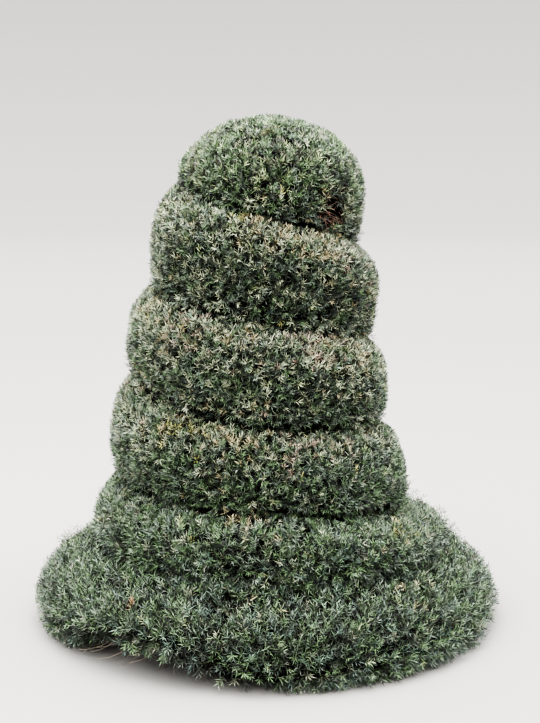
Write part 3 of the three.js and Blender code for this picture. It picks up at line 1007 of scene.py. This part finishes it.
def grow_shoots(mass, random):
    """Where each shoot starts and points, how long it is, and how far past the face it has needles."""
    tufts = place_tufts(mass, random)
    level, loose = tufts.level, tufts.loose[:, None]
    direction = shoot_directions(tufts, random)
    size = direction.shape[:2]
    longer = (random.random(size) < STRAY_SHARE) * loose * STRAY_LENGTH
    over = lerp(-SHORT_OF_FACE, LOOSE_OVERSHOOT * random.random(size), loose) + longer
    fill = groove_fill(mass, tufts)
    over = over + fill[:, None] * lerp(LEAST_FILL_SHARE, 1, random.random(size))
    over = over + (RIM_OVERSHOOT * tufts.rim + LIP_OVERSHOOT * tufts.lip)[:, None]
    stray = stray_lengths(mass, tufts.face)
    over = np.minimum(over, (FURTHEST_SHOOT + fill - level)[:, None]) + stray[:, None]
    cut = np.maximum(over, 0) + (level + CUT_ABOVE_FACE + LOOSE_NEEDLE_LENGTH * tufts.loose)[:, None]
    cut = np.minimum(cut, (FURTHEST_NEEDLE + fill + stray)[:, None])

    leaves_face_at = np.maximum(dot(direction, tufts.out[:, None])[..., 0], FLATTEST_SLOPE)
    length = ((tufts.depth + level)[:, None] + over) / leaves_face_at
    length = np.clip(length, SHORTEST_SHOOT, LONGEST_SHOOT + stray[:, None])
    start = np.repeat(tufts.heart[:, None], SHOOTS_PER_TUFT, axis=1)
    widest = np.broadcast_to((widest_radius(mass) + stray)[:, None], size)
    too_far = from_axis(start + length[..., None] * direction) - widest - FURTHEST_SHOOT
    length = np.maximum(length - np.maximum(too_far, 0), SHORTEST_SHOOT)
    tip_z = start[..., 2] + length * (direction[..., 2] + SHOOT_BEND)
    start[..., 2] += np.maximum(LEAST_CLEARANCE - tip_z, 0)
    return SimpleNamespace(
        **vars(tufts), tuft=np.repeat(np.arange(size[0]), SHOOTS_PER_TUFT), cut=cut.ravel(),
        widest=widest.ravel(), start=start.reshape(-1, 3), direction=direction.reshape(-1, 3),
        length=length.ravel(),
    )


# %% [markdown]
# ## Colour of each shoot
#
# Every shoot draws its colour from a weighted lot. The weights follow where the shoot grows: how far
# the face looks up, how near the ground or the dome it is, and which patch it lies in. The patches that
# show from the front are named one by one, by mass, turn, share and reach, and each adds weight to one
# colour. The draw is seeded, so it looks as mixed as a real plant and is the same plant every time.

# %% Weights of the colours
TONE_WEIGHTS = {
    # Deep green is partly the needles' own colour and partly painted shade: it is drawn more where the
    # face looks down and near the ground.
    "deep_green": {"anywhere": 0.72, "looks_up": -0.60, "low": 1.80, "dome": 0.40},
    "grey_green": {"anywhere": 1.10, "low": -0.80, "dome": -0.60},
    "moss_green": {"anywhere": 0.70, "patch": 0.30},
    "fresh_green": {"anywhere": 0.95, "high": -0.70, "fresh_patch": 0.30, "dome": 1.60},
    "olive": {"anywhere": 0.20, "high_looks_up": 0.40},
    "yellow_green": {"anywhere": 0.006, "freshest_patch": 0.03},
    # Painted highlight: the pale silvery green is drawn on the clipped coil, most where the face looks
    # up.
    "highlight_green": {"anywhere": 0.12, "low": -0.09, "clipped": 0.62, "clipped_looks_up": 0.85},
    # Painted highlight: the pale yellow-green is drawn on the dome, most where the face looks up.
    "pale_highlight_green": {"anywhere": 0.03, "dome": 0.12, "dome_looks_up": 0.30},
    "blue_green": {"anywhere": 0.03, "low": 0.70},
    "pale_blue_green": {"anywhere": 0.02, "low": 0.13},
    "tan": {"anywhere": 0.005, "clipped": 0.08, "clipped_dry": 0.42},
    "pinkish_brown": {"anywhere": 0.005, "clipped_dry": 0.22},
    "dry_orange": {},
    # Painted shade: the near-black green is drawn in the grooves near the dome, where the creases lie in
    # shadow.
    "shade_green": {"groove_shade": 4.00},
}
PATCH_SIZE = 0.17
FRESHEST_PATCH = 0.3
TUFT_CHANGE = 0.35
LOOKS_UP_RANGE = (-0.02, 0.60)
DRY_RANGE = (0.45, 1.30)
DRY_UPWARD = 0.9
HIGH_RANGE = (0.46, 0.76)
CLIPPED_RANGE = (0.52, 1.00)
# Heights over which the grooves get painted shade.
TOP_GROOVE_RANGE = (1.35, 1.50)
DOME_RANGE = (1.45, 1.60)
COLOUR_PATCHES = [
    ("dome", 0.240, 0.26, 0.020, "yellow_green", 9.0),
    ("dome", 0.250, 0.45, 0.080, "olive", 1.0),
    ("dome", 0.340, 0.30, 0.120, "pale_blue_green", 0.8),
    ("coil_2", 1.215, 0.12, 0.035, "yellow_green", 3.5),
    ("coil_2", 1.270, 0.12, 0.085, "tan", 5.0),
    ("coil_3", 1.330, 0.14, 0.085, "tan", 5.0),
    ("coil_3", 1.400, 0.28, 0.070, "pinkish_brown", 1.6),
    ("coil_5", 2.076, 0.17, 0.060, "yellow_green", 1.2),
    ("coil_5", 2.110, 0.10, 0.060, "moss_green", 3.0),
    ("coil_5", 2.170, 0.18, 0.090, "pinkish_brown", 2.0),
    ("coil_5", 2.250, 0.14, 0.090, "tan", 2.4),
    ("coil_6", 2.330, 0.14, 0.090, "pinkish_brown", 2.0),
    ("coil_6", 2.400, 0.20, 0.070, "tan", 2.4),
    ("coil_8", 3.167, 0.22, 0.070, "yellow_green", 1.0),
    ("coil_9", 3.230, 0.22, 0.080, "tan", 1.6),
    ("coil_9", 3.300, 0.22, 0.080, "pinkish_brown", 1.6),
    ("coil_12", 4.244, 0.15, 0.080, "tan", 0.8),
    ("coil_12", 4.404, 0.28, 0.050, "yellow_green", 1.2),
    ("skirt_front_right", 0.373, 0.18, 0.080, "tan", 1.2),
]
SINGLE_SPRAYS = [("skirt_front_left", 0.148, 0.25, "dry_orange")]


# %% Deal the colours out
def tone_weights(mass, shoots):
    """How likely each colour is at each tuft, in the order of the list of colours."""
    face, z = shoots.face, shoots.face[:, 2]
    looks_up = smoothstep(shoots.out[:, 2], *LOOKS_UP_RANGE)
    patch = smooth_noise(face, PATCH_SIZE, seed=2)
    dry = smoothstep(smooth_noise(face, PATCH_SIZE, seed=3) + DRY_UPWARD * looks_up, *DRY_RANGE)
    high = smoothstep(z, *HIGH_RANGE)
    on_dome = smoothstep(z, *DOME_RANGE)
    clipped = smoothstep(z, *CLIPPED_RANGE) * (1 - on_dome)
    groove = in_groove(mass, shoots.turn, shoots.share, GROOVE_WIDTH)
    here = {
        "anywhere": 1 + 0 * z,
        "low": shoots.loose,
        "high": high,
        "dome": on_dome,
        "looks_up": looks_up,
        "high_looks_up": high * looks_up,
        "dome_looks_up": on_dome * looks_up,
        "clipped": clipped,
        "clipped_looks_up": clipped * looks_up,
        "clipped_dry": clipped * dry,
        "patch": patch,
        "fresh_patch": np.maximum(patch, 0),
        "freshest_patch": np.maximum(patch - FRESHEST_PATCH, 0),
        # Painted shade in the grooves near the dome.
        "groove_shade": groove * smoothstep(z, *TOP_GROOVE_RANGE),
    }
    weight = {
        tone: sum((amount * here[where] for where, amount in TONE_WEIGHTS[tone].items()), 0 * z)
        for tone in TONES
    }
    for turn, share, reach, tone, strength in on_mass(COLOUR_PATCHES, mass):
        away = away_from(mass, turn, share, face)
        weight[tone] = weight[tone] + strength * np.exp(-((away / reach) ** 2))
    return np.maximum(np.stack([weight[name] for name in TONE_NAMES], axis=-1), 0)


def deal_tones(mass, shoots, random):
    weights = tone_weights(mass, shoots)
    weights = weights * np.exp(TUFT_CHANGE * random.standard_normal(weights.shape))
    reached = np.cumsum(weights, axis=-1) / weights.sum(-1, keepdims=True)
    draw = random.random(len(shoots.tuft))
    tones = (draw[:, None] > reached[shoots.tuft]).sum(-1).clip(0, len(TONE_NAMES) - 1)
    for turn, share, tone in on_mass(SINGLE_SPRAYS, mass):
        nearest = away_from(mass, turn, share, shoots.face).argmin()
        tones[SHOOTS_PER_TUFT * nearest + np.array([0, 1])] = TONE_NAMES.index(tone)
    return tones


# %% [markdown]
# ## Needles
#
# A yew needle is a flat blade about 20 mm long with a raised rib. On a shoot that grows straight out
# the needles stand all round it, and from the front they look like a star. On a shoot that lies
# sideways they twist into two ranks, like a comb. One needle could be modelled and copied, but there are
# half a million, so each is only four corners and two faces, folded along the rib, and a little wider
# than life. Where the shears pass they cut it short. The first needles of each shoot, which are last
# year's, and a quarter of the others are coloured a near-black green. This is painted shade, for
# needles that lie deep among the rest.

# %% Point the needles
NEEDLES_PER_SHOOT = 20
STANDS_OFF_LOW = math.radians(68)
STANDS_OFF_TIP = math.radians(34)
STANDS_OFF_POWER = 1.5
STANDS_OFF_CHANGE = math.radians(11)
SKY_BY_FACE = 0.5
SKY_SCATTER = 0.3
STAR_RANGE = (0.60, 0.98)
COMB_FLATNESS = 0.35
NEEDLE_TWIST = 0.7


def shoot_point(shoots, at):
    """Points on the shoots, which bend up a little towards their tips."""
    reach = shoots.length[:, None] * at
    bend = (SHOOT_BEND * reach * at)[..., None] * UP
    return shoots.start[:, None] + reach[..., None] * shoots.direction[:, None] + bend


def needle_directions(shoots, at, random):
    """Which way each needle points, and which way its upper side faces."""
    out = shoots.out[shoots.tuft][:, None]
    forward = unit(shoots.direction[:, None] + (2 * SHOOT_BEND * at)[..., None] * UP)
    sky = UP + SKY_BY_FACE * out + SKY_SCATTER * random.standard_normal((len(at), 1, 3))
    facing = unit(sky - dot(forward, sky) * forward)
    side = np.cross(forward, facing)
    flatness = lerp(COMB_FLATNESS, 1, smoothstep(dot(forward, out)[..., 0], *STAR_RANGE))
    around = TAU * (np.arange(NEEDLES_PER_SHOOT) * GOLDEN_SECTION + random.random((len(at), 1)))
    spoke = unit(np.cos(around)[..., None] * side + (flatness * np.sin(around))[..., None] * facing)
    stands_off = lerp(STANDS_OFF_LOW, STANDS_OFF_TIP, at**STANDS_OFF_POWER)
    stands_off = stands_off + STANDS_OFF_CHANGE * random.standard_normal(at.shape)
    direction = turned_towards(forward, spoke, stands_off)
    upper = facing + forward + NEEDLE_TWIST * random.standard_normal(at.shape + (3,))
    return direction, unit(upper - dot(upper, direction) * direction)


# %% Grow the needles
NEEDLE_LENGTH = 0.023
NEEDLE_LENGTH_RANGE = (0.75, 1.15)
NEEDLE_WIDTH = 0.0028
NEEDLE_WIDEST_AT = 0.45
NEEDLE_RIB = 0.18
FIRST_NEEDLE_AT = 0.18
LEAST_CLIMB = 0.0001
SHORTEST_CUT = 0.45
SHORTEST_NEEDLE = 0.004


def grow_needles(shoots, random):
    size = (len(shoots.length), NEEDLES_PER_SHOOT)
    at = (np.arange(NEEDLES_PER_SHOOT) + random.random(size)) / NEEDLES_PER_SHOOT
    at = lerp(FIRST_NEEDLE_AT, 1, at)
    root = shoot_point(shoots, at)
    direction, upper = needle_directions(shoots, at, random)
    full_length = lerp(NEEDLE_LENGTH, LOOSE_NEEDLE_LENGTH, shoots.loose[shoots.tuft][:, None])
    length = full_length * lerp(*NEEDLE_LENGTH_RANGE, random.random(size))
    out = shoots.out[shoots.tuft][:, None]
    root_level = dot(root - shoots.face[shoots.tuft][:, None], out)[..., 0]
    climbs = np.maximum(length * dot(direction, out)[..., 0], LEAST_CLIMB)
    length = length * np.clip((shoots.cut[:, None] - root_level) / climbs, SHORTEST_CUT, 1)
    too_far = from_axis(root + length[..., None] * direction) - shoots.widest[:, None] - FURTHEST_NEEDLE
    length = np.maximum(length - np.maximum(too_far, 0), SHORTEST_NEEDLE)

    folded = NEEDLE_RIB * NEEDLE_WIDTH * upper
    shoulder = root + (NEEDLE_WIDEST_AT * length)[..., None] * direction - folded
    tip = root + length[..., None] * direction
    half = NEEDLE_WIDTH / 2 * np.cross(direction, upper)
    corners = np.stack([root, shoulder + half, tip, shoulder - half], axis=2).reshape(-1, 3)
    corners[:, 2] = np.maximum(corners[:, 2], LEAST_CLEARANCE / 2)
    first = 4 * np.arange(size[0] * size[1])[:, None]
    faces = np.concatenate([first + [0, 1, 2], first + [0, 2, 3]], axis=1).reshape(-1, 3)
    return corners, faces


# %% [markdown]
# ## Twigs
#
# The bough of each mass forks into limbs that run out inside it, each to its own group of tufts. From
# its limb a brown twig reaches each tuft, and from there a green one carries each shoot. So every
# needle hangs on wood that leads back to the trunk. They could be extruded one by one, as the boughs
# are, but hardly any of this wood shows. So the limbs are three-sided tubes and the thin twigs
# three-sided spikes, made as arrays.

# %% Spikes and tubes
TWIG_SIDES = 3
ASKEW = (0.31, 0.17, 0.93)


def beside(forward):
    """Two directions at right angles to each of these and to each other."""
    side = unit(np.cross(forward, ASKEW))
    return side, np.cross(forward, side)


def spikes(roots, tips, radius):
    """Three-sided spikes from roots to tips, with a closed foot."""
    side, other = beside(unit(tips - roots))
    angles = [TAU * i / TWIG_SIDES for i in range(TWIG_SIDES)]
    ring = [roots + radius * (math.cos(a) * side + math.sin(a) * other) for a in angles]
    corners = np.stack([*ring, tips], axis=1).reshape(-1, 3)
    first = 4 * np.arange(len(roots))[:, None]
    shape = np.array([[0, 1, 3], [1, 2, 3], [2, 0, 3], [2, 1, 0]])
    return corners, (first[..., None] + shape).reshape(-1, 3)


def tubes(paths, radii):
    """Closed three-sided tubes round paths of points, with one radius for each point of a path."""
    count, points = paths.shape[:2]
    side, other = beside(unit(np.gradient(paths, axis=1)))
    angles = TAU * np.arange(TWIG_SIDES) / TWIG_SIDES
    spoke = turned_towards(side[:, :, None], other[:, :, None], angles)
    corners = (paths[:, :, None] + radii[:, None, None] * spoke).reshape(-1, 3)
    triangles = []
    for i in range(points - 1):
        for j in range(TWIG_SIDES):
            a, b = TWIG_SIDES * i + j, TWIG_SIDES * i + (j + 1) % TWIG_SIDES
            triangles += [[a, b, b + TWIG_SIDES], [a, b + TWIG_SIDES, a + TWIG_SIDES]]
    last = TWIG_SIDES * (points - 1)
    triangles += [[2, 1, 0], [last, last + 1, last + 2]]
    first = TWIG_SIDES * points * np.arange(count)[:, None, None]
    return corners, (first + np.array(triangles)).reshape(-1, 3)


# %% Grow the twigs
TUFTS_PER_LIMB = 7
LIMB_RADIUS = 0.0060
LIMB_TIP_RADIUS = 0.0024
LIMB_DEPTH = 0.075
LIMB_SEGMENTS = 5
LIMB_SPREADS = 0.8
SHOOT_TWIG_RADIUS = 0.0010
TUFT_TWIG_RADIUS = 0.0020
TUFT_TWIG_ENDS = 0.3


def grow_limbs(mass, shoots):
    """Paths of limbs to a point under each group of tufts, from the bough's end or the trunk's top."""
    ends = np.arange(len(shoots.turn) // TUFTS_PER_LIMB)
    radius = mass.outline(shoots.turn[ends], shoots.share[ends])[0]
    under = shoots.face[ends] - LIMB_DEPTH * shoots.out[ends]
    end_radius = radius - LIMB_DEPTH * np.hypot(shoots.out[ends, 0], shoots.out[ends, 1])
    if mass.node == "dome":
        from_turn, from_radius, from_z = shoots.turn[ends], 0, TRUNK_TOP
    else:
        tip = bough_path(mass)[-1]
        from_turn, from_z = (mass.start + mass.end) / 2, tip[2]
        from_radius = math.hypot(tip[0] - axis_x(tip[2]), tip[1])
    share = np.linspace(0, 1, LIMB_SEGMENTS + 1)[None, :]
    turn = lerp(np.broadcast_to(from_turn, ends.shape)[:, None], shoots.turn[ends][:, None], share)
    out_share = share**LIMB_SPREADS
    radius = lerp(from_radius, end_radius[:, None], out_share)
    return place(turn, radius, lerp(from_z, under[:, 2:3], out_share))


def join_shapes(shapes):
    """One mesh's corners, faces and tones, from several of corners, faces and the name of one tone."""
    corners, faces, tones = [], [], []
    count = 0
    for shape_corners, shape_faces, tone in shapes:
        corners.append(shape_corners)
        faces.append(shape_faces + count)
        tones.append(np.full(len(shape_faces), TWIG_NAMES.index(tone)))
        count += len(shape_corners)
    corners = np.concatenate(corners)
    corners[:, 2] = np.maximum(corners[:, 2], LEAST_CLEARANCE / 2)
    return corners, np.concatenate(faces), np.concatenate(tones)


def grow_twigs(mass, shoots, random):
    shoot_ends = shoot_point(shoots, np.array([[1.0]]))[:, 0]
    green = spikes(shoots.start, shoot_ends, SHOOT_TWIG_RADIUS)
    limbs = grow_limbs(mass, shoots)
    away = np.linalg.norm(shoots.heart[:, None] - limbs[None, :, -1], axis=-1)
    nearest = limbs[away.argmin(axis=1), -1]
    tuft_ends = shoots.heart + TUFT_TWIG_ENDS * (shoots.face - shoots.heart)
    brown = spikes(nearest, tuft_ends, TUFT_TWIG_RADIUS)
    limb_radii = np.linspace(LIMB_RADIUS, LIMB_TIP_RADIUS, LIMB_SEGMENTS + 1)
    shapes = [(*green, "young_twig"), (*brown, "brown_twig"), (*tubes(limbs, limb_radii), "brown_twig")]
    shapes += bare_spot_twigs(mass, random)
    shapes += lifted_skirt_twigs(mass, random)
    return join_shapes(shapes)


# %% [markdown]
# ## Bare twigs
#
# Two places show bare wood. In the hole in the dome short reddish twigs cross each other, and under the
# part of the skirt that is lifted off the ground thin dead twigs hang down and trail outwards. They are
# made as the twigs inside are, in the colours of dead wood.

# %% Grow the bare twigs
SPOT_TWIGS = 85
SPOT_TWIG_RADIUS = 0.0011
SPOT_TWIG_LENGTH = 0.056
SPOT_TWIG_LENGTH_RANGE = (0.5, 1.1)
SPOT_TWIG_FOOT = 0.046
SPOT_TWIG_SPREAD = 0.9
TRAILING_TWIGS = 30
TRAILING_SPREAD = 1.1
TRAILING_FROM = 0.62
TRAILING_TO = 0.81
TRAILING_REACH_RANGE = (0.86, 1)
TRAILING_STARTS_UP = 0.06
TRAILING_END_RANGE = (0.008, 0.050)
TRAILING_WANDER = 0.02
TRAILING_RADIUS = 0.0026
TRAILING_TIP_RATIO = 0.4
TRAILING_SEGMENTS = 6


def bare_spot_twigs(mass, random):
    shapes = []
    for turn, share, reach in on_mass(BARE_SPOTS, mass):
        turns = turn + reach * random.uniform(-1, 1, SPOT_TWIGS) / (TAU * DOME_RADIUS)
        shares = share + SPOT_TWIG_SPREAD * reach * random.uniform(-1, 1, SPOT_TWIGS) / DOME_RADIUS
        out, up, along = face_directions(mass, turns, shares)
        foot = face_point(mass, turns, shares) - SPOT_TWIG_FOOT * out
        lean = random.uniform(-1, 1, (2, SPOT_TWIGS, 1))
        direction = unit(out + lean[0] * up + lean[1] * along)
        length = SPOT_TWIG_LENGTH * random.uniform(*SPOT_TWIG_LENGTH_RANGE, (SPOT_TWIGS, 1))
        shapes.append((*spikes(foot, foot + length * direction, SPOT_TWIG_RADIUS), "red_twig"))
    return shapes


def lifted_skirt_twigs(mass, random):
    if not mass.start <= SKIRT_LIFT_TURN <= mass.end or mass.outline is not skirt_outline:
        return []
    each = (TRAILING_TWIGS, 1)
    turn = SKIRT_LIFT_TURN + SKIRT_LIFT_WIDTH * random.uniform(-TRAILING_SPREAD, TRAILING_SPREAD, each)
    share = np.linspace(0, 1, TRAILING_SEGMENTS + 1)[None, :]
    foot = skirt_foot(turn) + TRAILING_STARTS_UP
    reach = TRAILING_TO * random.uniform(*TRAILING_REACH_RANGE, each)
    drop = lerp(foot, random.uniform(*TRAILING_END_RANGE, each), np.sin(np.pi / 2 * share))
    wander = TRAILING_WANDER * random.uniform(-1, 1, each) * share**2
    paths = place(turn + wander, lerp(TRAILING_FROM, reach, share), drop)
    radii = np.linspace(TRAILING_RADIUS, TRAILING_TIP_RATIO * TRAILING_RADIUS, TRAILING_SEGMENTS + 1)
    return [(*tubes(paths, radii), "dead_twig")]


# %% [markdown]
# ## The thicket inside
#
# A hand pushed into a clipped yew meets a dense thicket of bare twigs. No single twig of it can
# be made out from outside, so it is one lumpy body under the shoots. Its near-black colour is painted
# shade, the darkness deep inside the plant, rather than the twigs' own brown. A grid is added, wrapped
# round the outline of the mass and closed at its seam and ends. In the groove it comes up to the notch,
# so that the thickets above and below meet there and no light gets through.

# %% Wrap the thickets
THICKET_DEPTH = 0.042
THICKET_LUMPS = 0.009
THICKET_LUMP_SIZE = 0.026
THICKET_BARE_DENT = 0.022
OUTLINE_POINTS = 44
INNER_POINTS = 4
THICKET_STEP = 0.005
THICKET_LEAST_STEPS = 4
NOTCH_CLEARANCE = 0.001
DOME_BORE_TOP = 0.16
POLE_RADIUS = 0.0004
WELD_DISTANCE = 0.00001


def wrapped_body(name, rings):
    """A closed body whose skin is a grid wrapped through rings of points, with both ends filled."""
    steps, points = rings.shape[:2]
    deselect_all()
    bpy.ops.mesh.primitive_grid_add(x_subdivisions=points, y_subdivisions=steps - 1, size=1)
    body = bpy.context.object
    body.name = name
    body.data.name = name
    closed = np.concatenate([rings, rings[:, :1]], axis=1)
    body.data.vertices.foreach_set("co", closed.astype(np.float32).ravel())
    bpy.ops.object.mode_set(mode="EDIT")
    bpy.ops.mesh.select_all(action="SELECT")
    bpy.ops.mesh.remove_doubles(threshold=WELD_DISTANCE)
    bpy.ops.mesh.select_non_manifold()
    bpy.ops.mesh.fill_holes(sides=0)
    bpy.ops.mesh.select_all(action="SELECT")
    bpy.ops.mesh.normals_make_consistent(inside=False)
    bpy.ops.object.mode_set(mode="OBJECT")
    bpy.ops.object.shade_smooth()
    return body


def thicket_rings(mass):
    steps = max(THICKET_LEAST_STEPS, round((mass.end - mass.start) / THICKET_STEP))
    turn = np.linspace(mass.start, mass.end, steps + 1)[:, None]
    share = np.linspace(0, 1, OUTLINE_POINTS)[None, :]
    face = face_point(mass, turn, share)
    out = face_directions(mass, turn + 0 * share, share + 0 * turn)[0]
    fades = in_groove(mass, turn, share, THICKET_GROOVE_WIDTH)
    lumps = THICKET_LUMPS * smooth_noise(face, THICKET_LUMP_SIZE, seed=4) + lumps_at(face)
    depth = (THICKET_DEPTH - lumps) * (1 - fades) + THICKET_BARE_DENT * bareness(mass, face)
    skin = face - depth[..., None] * out
    skin[..., 2] = np.clip(skin[..., 2], LEAST_CLEARANCE, None)
    inner_share = np.linspace(0, 1, INNER_POINTS)[None, :]
    low, high = skin[:, -1:, 2] + NOTCH_CLEARANCE, skin[:, :1, 2] - NOTCH_CLEARANCE
    bore = mass.bare_radius(turn) + 0 * inner_share
    if mass.node == "dome":
        high = high - DOME_BORE_TOP
        bore = np.where(inner_share == 1, POLE_RADIUS, bore)
        skin[:, 0, :2] = place(turn[:, 0], POLE_RADIUS, skin[:, 0, 2])[:, :2]
    inner = place(turn, bore, lerp(low, high, inner_share))
    return np.concatenate([skin, inner], axis=1)


# %% [markdown]
# ## Grow every mass
#
# Each mass becomes three pieces that stand for its solid: its needles, its twigs and its thicket. They
# could be one mesh, but apart each kind stays small and keeps its own list of materials. Every mass has
# a seed of its own, so a change to one leaves the others as they were.

# %% Grow and count
FOLIAGE_SEED = 11
# The first needles of each shoot, and this share of the others, get the painted-shade green.
SHADED_INNER_NEEDLES = 6
SHADED_SHARE = 0.25


def tones_of_needles(tones, random):
    """The colour of each shoot for its needles, and the near-black painted-shade green for its first
    needles and a share of the others.
    """
    painted_dark = np.arange(NEEDLES_PER_SHOOT) < SHADED_INNER_NEEDLES
    painted_dark = painted_dark | (random.random((len(tones), NEEDLES_PER_SHOOT)) < SHADED_SHARE)
    return np.where(painted_dark, TONE_NAMES.index("shade_green"), tones[:, None])


total_needles = 0
total_twigs = 0
for number, mass in enumerate(masses):
    random = np.random.default_rng(FOLIAGE_SEED + number)
    shoots = grow_shoots(mass, random)
    tones = deal_tones(mass, shoots, random)
    corners, faces = grow_needles(shoots, random)
    face_tones = np.repeat(tones_of_needles(tones, random), 2)
    needles = joined_piece(f"needles_{mass.node}", corners, faces, face_tones, needle_materials)
    twigs = joined_piece(f"twigs_{mass.node}", *grow_twigs(mass, shoots, random), twig_materials)
    thicket = wrapped_body(f"thicket_{mass.node}", thicket_rings(mass))
    thicket.data.materials.append(thicket_shade)
    finish_piece(needles, mass.node)
    finish_piece(twigs, mass.node)
    finish_piece(thicket, mass.node)
    total_needles += len(faces)
    total_twigs += len(twigs.data.polygons)
    print(mass.node, "tufts", len(shoots.turn), "needle faces", len(faces))
print("needle faces:", total_needles, "twig faces:", total_twigs)

# %% [markdown]
# ## Studio
#
# The photograph was taken under a bright overcast sky: soft light from above, and dark creases. One lamp
# would cast hard shadows. So the sky is a large soft panel overhead with a weak one in front, three wide
# soft suns from the front, the right and the back left, and a faintly blue world. The floor is plain and
# pale, and its rim is swept up far behind the plant, so that no horizon shows.

# %% Floor
FLOOR_RADIUS = 24
SWEEP_RISE = 12
SWEEP_RUN = 9
SWEEP_STEPS = 10
FLOOR_SIDES = 96
FLOOR_COLOUR = "777572"
FLOOR_ROUGHNESS = 0.9

deselect_all()
bpy.ops.mesh.primitive_circle_add(vertices=FLOOR_SIDES, radius=FLOOR_RADIUS, fill_type="NGON")
floor = bpy.context.object
floor.name = "floor"
bpy.ops.object.mode_set(mode="EDIT")
bpy.ops.mesh.select_all(action="SELECT")
bpy.ops.mesh.inset(thickness=FLOOR_RADIUS / 3)
bpy.ops.mesh.select_all(action="SELECT")
bpy.ops.mesh.region_to_loop()
reached_radius = FLOOR_RADIUS
reached_height = 0
for i in range(1, SWEEP_STEPS + 1):
    angle = math.pi / 2 * i / SWEEP_STEPS
    radius = FLOOR_RADIUS + SWEEP_RUN * math.sin(angle)
    height = SWEEP_RISE * (1 - math.cos(angle))
    bpy.ops.mesh.extrude_edges_move(TRANSFORM_OT_translate={"value": (0, 0, height - reached_height)})
    growth = radius / reached_radius
    bpy.ops.transform.resize(value=(growth, growth, 1), center_override=(0, 0, height))
    reached_radius, reached_height = radius, height
bpy.ops.object.mode_set(mode="OBJECT")
bpy.ops.object.shade_smooth()
floor.data.materials.append(plain_material("floor", FLOOR_COLOUR, FLOOR_ROUGHNESS))
print("floor faces:", len(floor.data.polygons), "top:", round(reached_height, 2))


# %% Lights
DAYLIGHT = "fffdf6"
SOFT_PANELS = [("sky_panel", (-0.3, -0.6, 5.6), 4.0, 640), ("front_panel", (-1.5, -6.0, 3.8), 3.5, 75)]
SUNS = [("sky_front", -20, 6.5), ("sky_right", 100, 5.2), ("sky_left_back", 220, 5.2)]
SUN_LEANS = math.radians(42)
SUN_SPREAD = math.radians(75)
WORLD_COLOUR = "d8e0ee"
WORLD_STRENGTH = 2.3


def add_light(kind, name, energy, **where):
    bpy.ops.object.light_add(type=kind, **where)
    light = bpy.context.object
    light.name = name
    light.data.energy = energy
    light.data.color = linear(DAYLIGHT)[:3]
    return light


for name, location, size, power in SOFT_PANELS:
    panel = add_light("AREA", name, power, location=location)
    panel.data.shape = "DISK"
    panel.data.size = size
    aim = Vector((0, 0, HEIGHT / 2)) - panel.location
    panel.rotation_mode = "QUATERNION"
    panel.rotation_quaternion = aim.to_track_quat("-Z", "Y")
for name, heading, energy in SUNS:
    sun = add_light("SUN", name, energy, rotation=(SUN_LEANS, 0, math.radians(heading)))
    sun.data.angle = SUN_SPREAD

world = bpy.data.worlds.new("studio")
bpy.context.scene.world = world
world.use_nodes = True
fill_inputs(world.node_tree, world.node_tree.nodes["Background"], {
    "Color": linear(WORLD_COLOUR), "Strength": WORLD_STRENGTH,
})
bpy.context.scene.view_settings.look = "AgX - Very High Contrast"
print("lights:", len(SOFT_PANELS) + len(SUNS))
